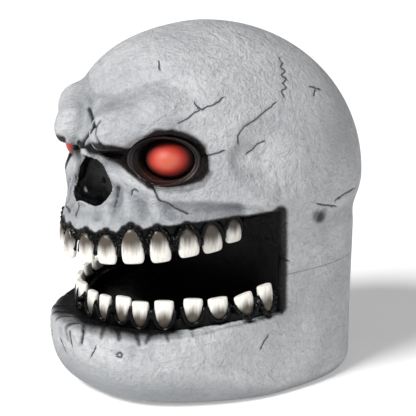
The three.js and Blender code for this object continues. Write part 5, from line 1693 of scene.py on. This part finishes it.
# %% [markdown]
# ### Small parts
# The rest are everyday materials: moulded ABS, PVC sleeves and wire, epoxy, zinc-plated steel and glass
# fibre board. Plain colours would look like toys. So each has a grain, which is drawn coarser than the
# real one to show, and a cloud 14 times as wide that shifts its tone and its gloss a little.

# %% Plain mouldings, wires, metal and board
CLOUD_TIMES = 14


def moulded_finish(name, dark, light, roughness, grain_mm, metallic=0.0, depth_mm=0.15, stretch=(1, 1, 1)):
    material, tree, shader = new_material(name)
    place = add_node(tree, "TexCoord", output="Object")
    place = add_node(tree, "Mapping", {"Vector": place, "Scale": stretch})
    grain = add_node(tree, "TexNoise", {"Vector": place, "Scale": scale_for(grain_mm), "Detail": 4,
                                        "Roughness": 0.6})
    cloud = add_node(tree, "TexNoise", {"Vector": place, "Scale": scale_for(grain_mm) / CLOUD_TIMES,
                                        "Detail": 2})
    both = add_node(tree, "Math", {0: grain, 1: cloud}, operation="ADD")
    share = add_node(tree, "MapRange", {0: both, 1: 0.7, 2: 1.3})
    shade = add_node(tree, "Mix", {0: share, 6: colour(dark), 7: colour(light)}, 2, data_type="RGBA")
    haze = add_node(tree, "MapRange", {0: cloud, 1: 0.3, 2: 0.7, 3: roughness - 0.06, 4: roughness + 0.08})
    bump = add_node(tree, "Bump", {"Height": grain, "Distance": depth_mm * MM})
    finish(shader, haze, Base_Color=shade, Normal=bump, Metallic=metallic)
    return material


# %% [markdown]
# ## Dress the frame
# Every new piece rides on the body of the skull, the solid it stands for is hidden, and it gets its finish.
# The solids that stay get a welded copy of their edges, softly rounded, and their own finish.

# %% Put the finishes on the new pieces
def dress(piece, material, node, smooth_angle=None):
    piece.data.materials.clear()
    piece.data.materials.append(material)
    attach(piece, "skull")
    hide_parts(node)
    if smooth_angle:
        only(piece)
        bpy.ops.object.shade_smooth_by_angle(angle=math.radians(smooth_angle))


BONE_ANGLE = 55
bone_material = bone_finish()
dress(cranium, bone_material, "cranium_shell", BONE_ANGLE)
dress(jaw, bone_material, "jaw_shell", BONE_ANGLE)
tooth_material = tooth_finish()
for node, tooth in teeth.items():
    dress(tooth, tooth_material, node)
gum_material = gum_finish("black_gloss_moulded_gums", "#060708", 0.24, 8)
dress(upper_gum, gum_material, "upper_gum")
dress(lower_gum, gum_material, "lower_gum")
dress(nose_cup, gum_finish("black_satin_moulded_nose", "#08090a", 0.26, 6), "nose_liner")
lid_material = lid_finish()
for word, side in (("left", 1), ("right", -1)):
    dress(lenses[word], lens_finish(side, f"red_milky_acrylic_lens_{word}"), f"eye_lens_{word}")
    dress(lids[word], lid_material, f"eyelid_ring_{word}")
print("dressed: both shells, both gums, the nose cup,", len(teeth), "teeth, lenses and lids")

# %% ABS, grey and white mouldings, lamp epoxy, PVC, board and steel: dark tone, light tone, gloss
case_plastic = moulded_finish("black_abs_battery_case", "#191b1e", "#2b2e32", 0.5, 1.2)
plate_plastic = moulded_finish("grey_moulded_base_plate", "#a9adb1", "#c2c5c8", 0.6, 2.5)
white_plastic = moulded_finish("white_gloss_moulded_cup", "#dcdcd6", "#efefea", 0.35, 3)
red_led = moulded_finish("red_epoxy_lamp", "#8e1a12", "#c9392b", 0.2, 3)
wire_sleeve = moulded_finish("red_pvc_wire", "#7c1613", "#a3221c", 0.45, 2)
board_fibre = moulded_finish("green_glass_fibre_board", "#1f5230", "#357a48", 0.4, 0.9)
cell_sleeve = moulded_finish("slate_pvc_cell_sleeve", "#2f3b4a", "#46566a", 0.32, 2.5)
steel = moulded_finish("zinc_plated_steel", "#a7abb0", "#cdd0d3", 0.3, 1.5, 1.0, 0.05, (1, 1, 0.2))
mouth_black = gum_finish("black_satin_mouth_wall", "#070708", 0.5, 16)
SOLID_FINISHES = {
    "mouth_liner": mouth_black, "base_plate": plate_plastic, "battery_case": case_plastic,
    "battery_lid": case_plastic, "power_switch": white_plastic, "hinge_pin": steel,
    "case_screw_left": steel, "case_screw_right": steel, "circuit_board": board_fibre,
    "contact_strip_lower": steel, "contact_strip_upper": steel,
}
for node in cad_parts:
    for word, material in (("lamp_cup", white_plastic), ("led_", red_led), ("eye_wire", wire_sleeve),
                           ("battery_left", cell_sleeve), ("battery_middle", cell_sleeve),
                           ("battery_right", cell_sleeve)):
        if node.startswith(word):
            SOLID_FINISHES[node] = material

# %% Soften the edges of the solids that stay, so that they catch the light: width in mm and angle
EDGE_WIDTH, EDGE_STEPS, EDGE_ANGLE = 0.3, 2, math.radians(40)
for node, material in SOLID_FINISHES.items():
    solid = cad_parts[node]
    solid.data.materials.clear()
    solid.data.materials.append(material)
    weld = solid.modifiers.new("weld", "WELD")
    weld.merge_threshold = WELD
    soften = solid.modifiers.new("soften", "BEVEL")
    soften.width, soften.segments, soften.limit_method = EDGE_WIDTH * MM, EDGE_STEPS, "ANGLE"
    soften.angle_limit = EDGE_ANGLE
print(len(SOLID_FINISHES), "solids keep their own shape")

# %% [markdown]
# ## The picture
# The photo is taken on white, in soft light from the front. A curved sweep of paper could stand behind
# the skull, but a wide pale floor that glows a little gives the same white and one soft shadow. A strong
# soft sun stands high before the face, a weaker and softer one low on the near side, and a dim white
# world lifts the shadows.

# %% The floor of pale paper
bpy.ops.object.select_all(action="DESELECT")
bpy.ops.mesh.primitive_plane_add(size=44, location=(0, 0, 0))
floor = named("pale_floor")
floor_material, floor_tree, floor_shader = new_material("pale_paper")
paper = add_node(floor_tree, "TexCoord", output="Object")
paper = add_node(floor_tree, "TexNoise", {"Vector": paper, "Scale": 2.5, "Detail": 2})
paper = add_node(floor_tree, "Mix", {0: paper, 6: colour("#ececec"), 7: colour("#f4f4f4")}, 2,
                 data_type="RGBA")
finish(floor_shader, 0.9, Base_Color=paper, Emission_Color=paper, Emission_Strength=0.28)
floor.data.materials.append(floor_material)


# %% Two soft suns and a dim white world: azimuth, elevation and spread in degrees, and strength
def soft_sun(name, azimuth, elevation, spread, strength):
    a, e = math.radians(azimuth), math.radians(elevation)
    direction = Vector((math.sin(a) * math.cos(e), -math.cos(a) * math.cos(e), math.sin(e)))
    data = bpy.data.lights.new(name, "SUN")
    data.angle, data.energy = math.radians(spread), strength
    light = bpy.data.objects.new(name, data)
    light.location = direction * 3
    light.rotation_mode = "QUATERNION"
    light.rotation_quaternion = (-direction).to_track_quat("-Z", "Y")
    bpy.context.scene.collection.objects.link(light)


soft_sun("key", 6, 42, 18, 3.75)
soft_sun("fill", 85, 14, 60, 0.75)
world = bpy.data.worlds.new("bright_room")
world.use_nodes = True
world.node_tree.nodes["Background"].inputs[0].default_value = (1, 1, 1, 1)
world.node_tree.nodes["Background"].inputs[1].default_value = 0.16
bpy.context.scene.world = world
bpy.context.scene.view_settings.view_transform = "Standard"

# %% The camera, where the strokes are seen from
camera_data = bpy.data.cameras.new("camera")
camera_data.lens, camera_data.sensor_width = LENS_LENGTH, SENSOR
camera_data.clip_start, camera_data.clip_end = 0.05, 40
camera = bpy.data.objects.new("camera", camera_data)
camera.location = Vector((TARGET + back * DISTANCE) * MM)
camera.rotation_mode = "QUATERNION"
camera.rotation_quaternion = (-Vector(back)).to_track_quat("-Z", "Y")
bpy.context.scene.collection.objects.link(camera)
bpy.context.scene.camera = camera
print("the camera stands", round(DISTANCE), "mm from the middle of the skull")
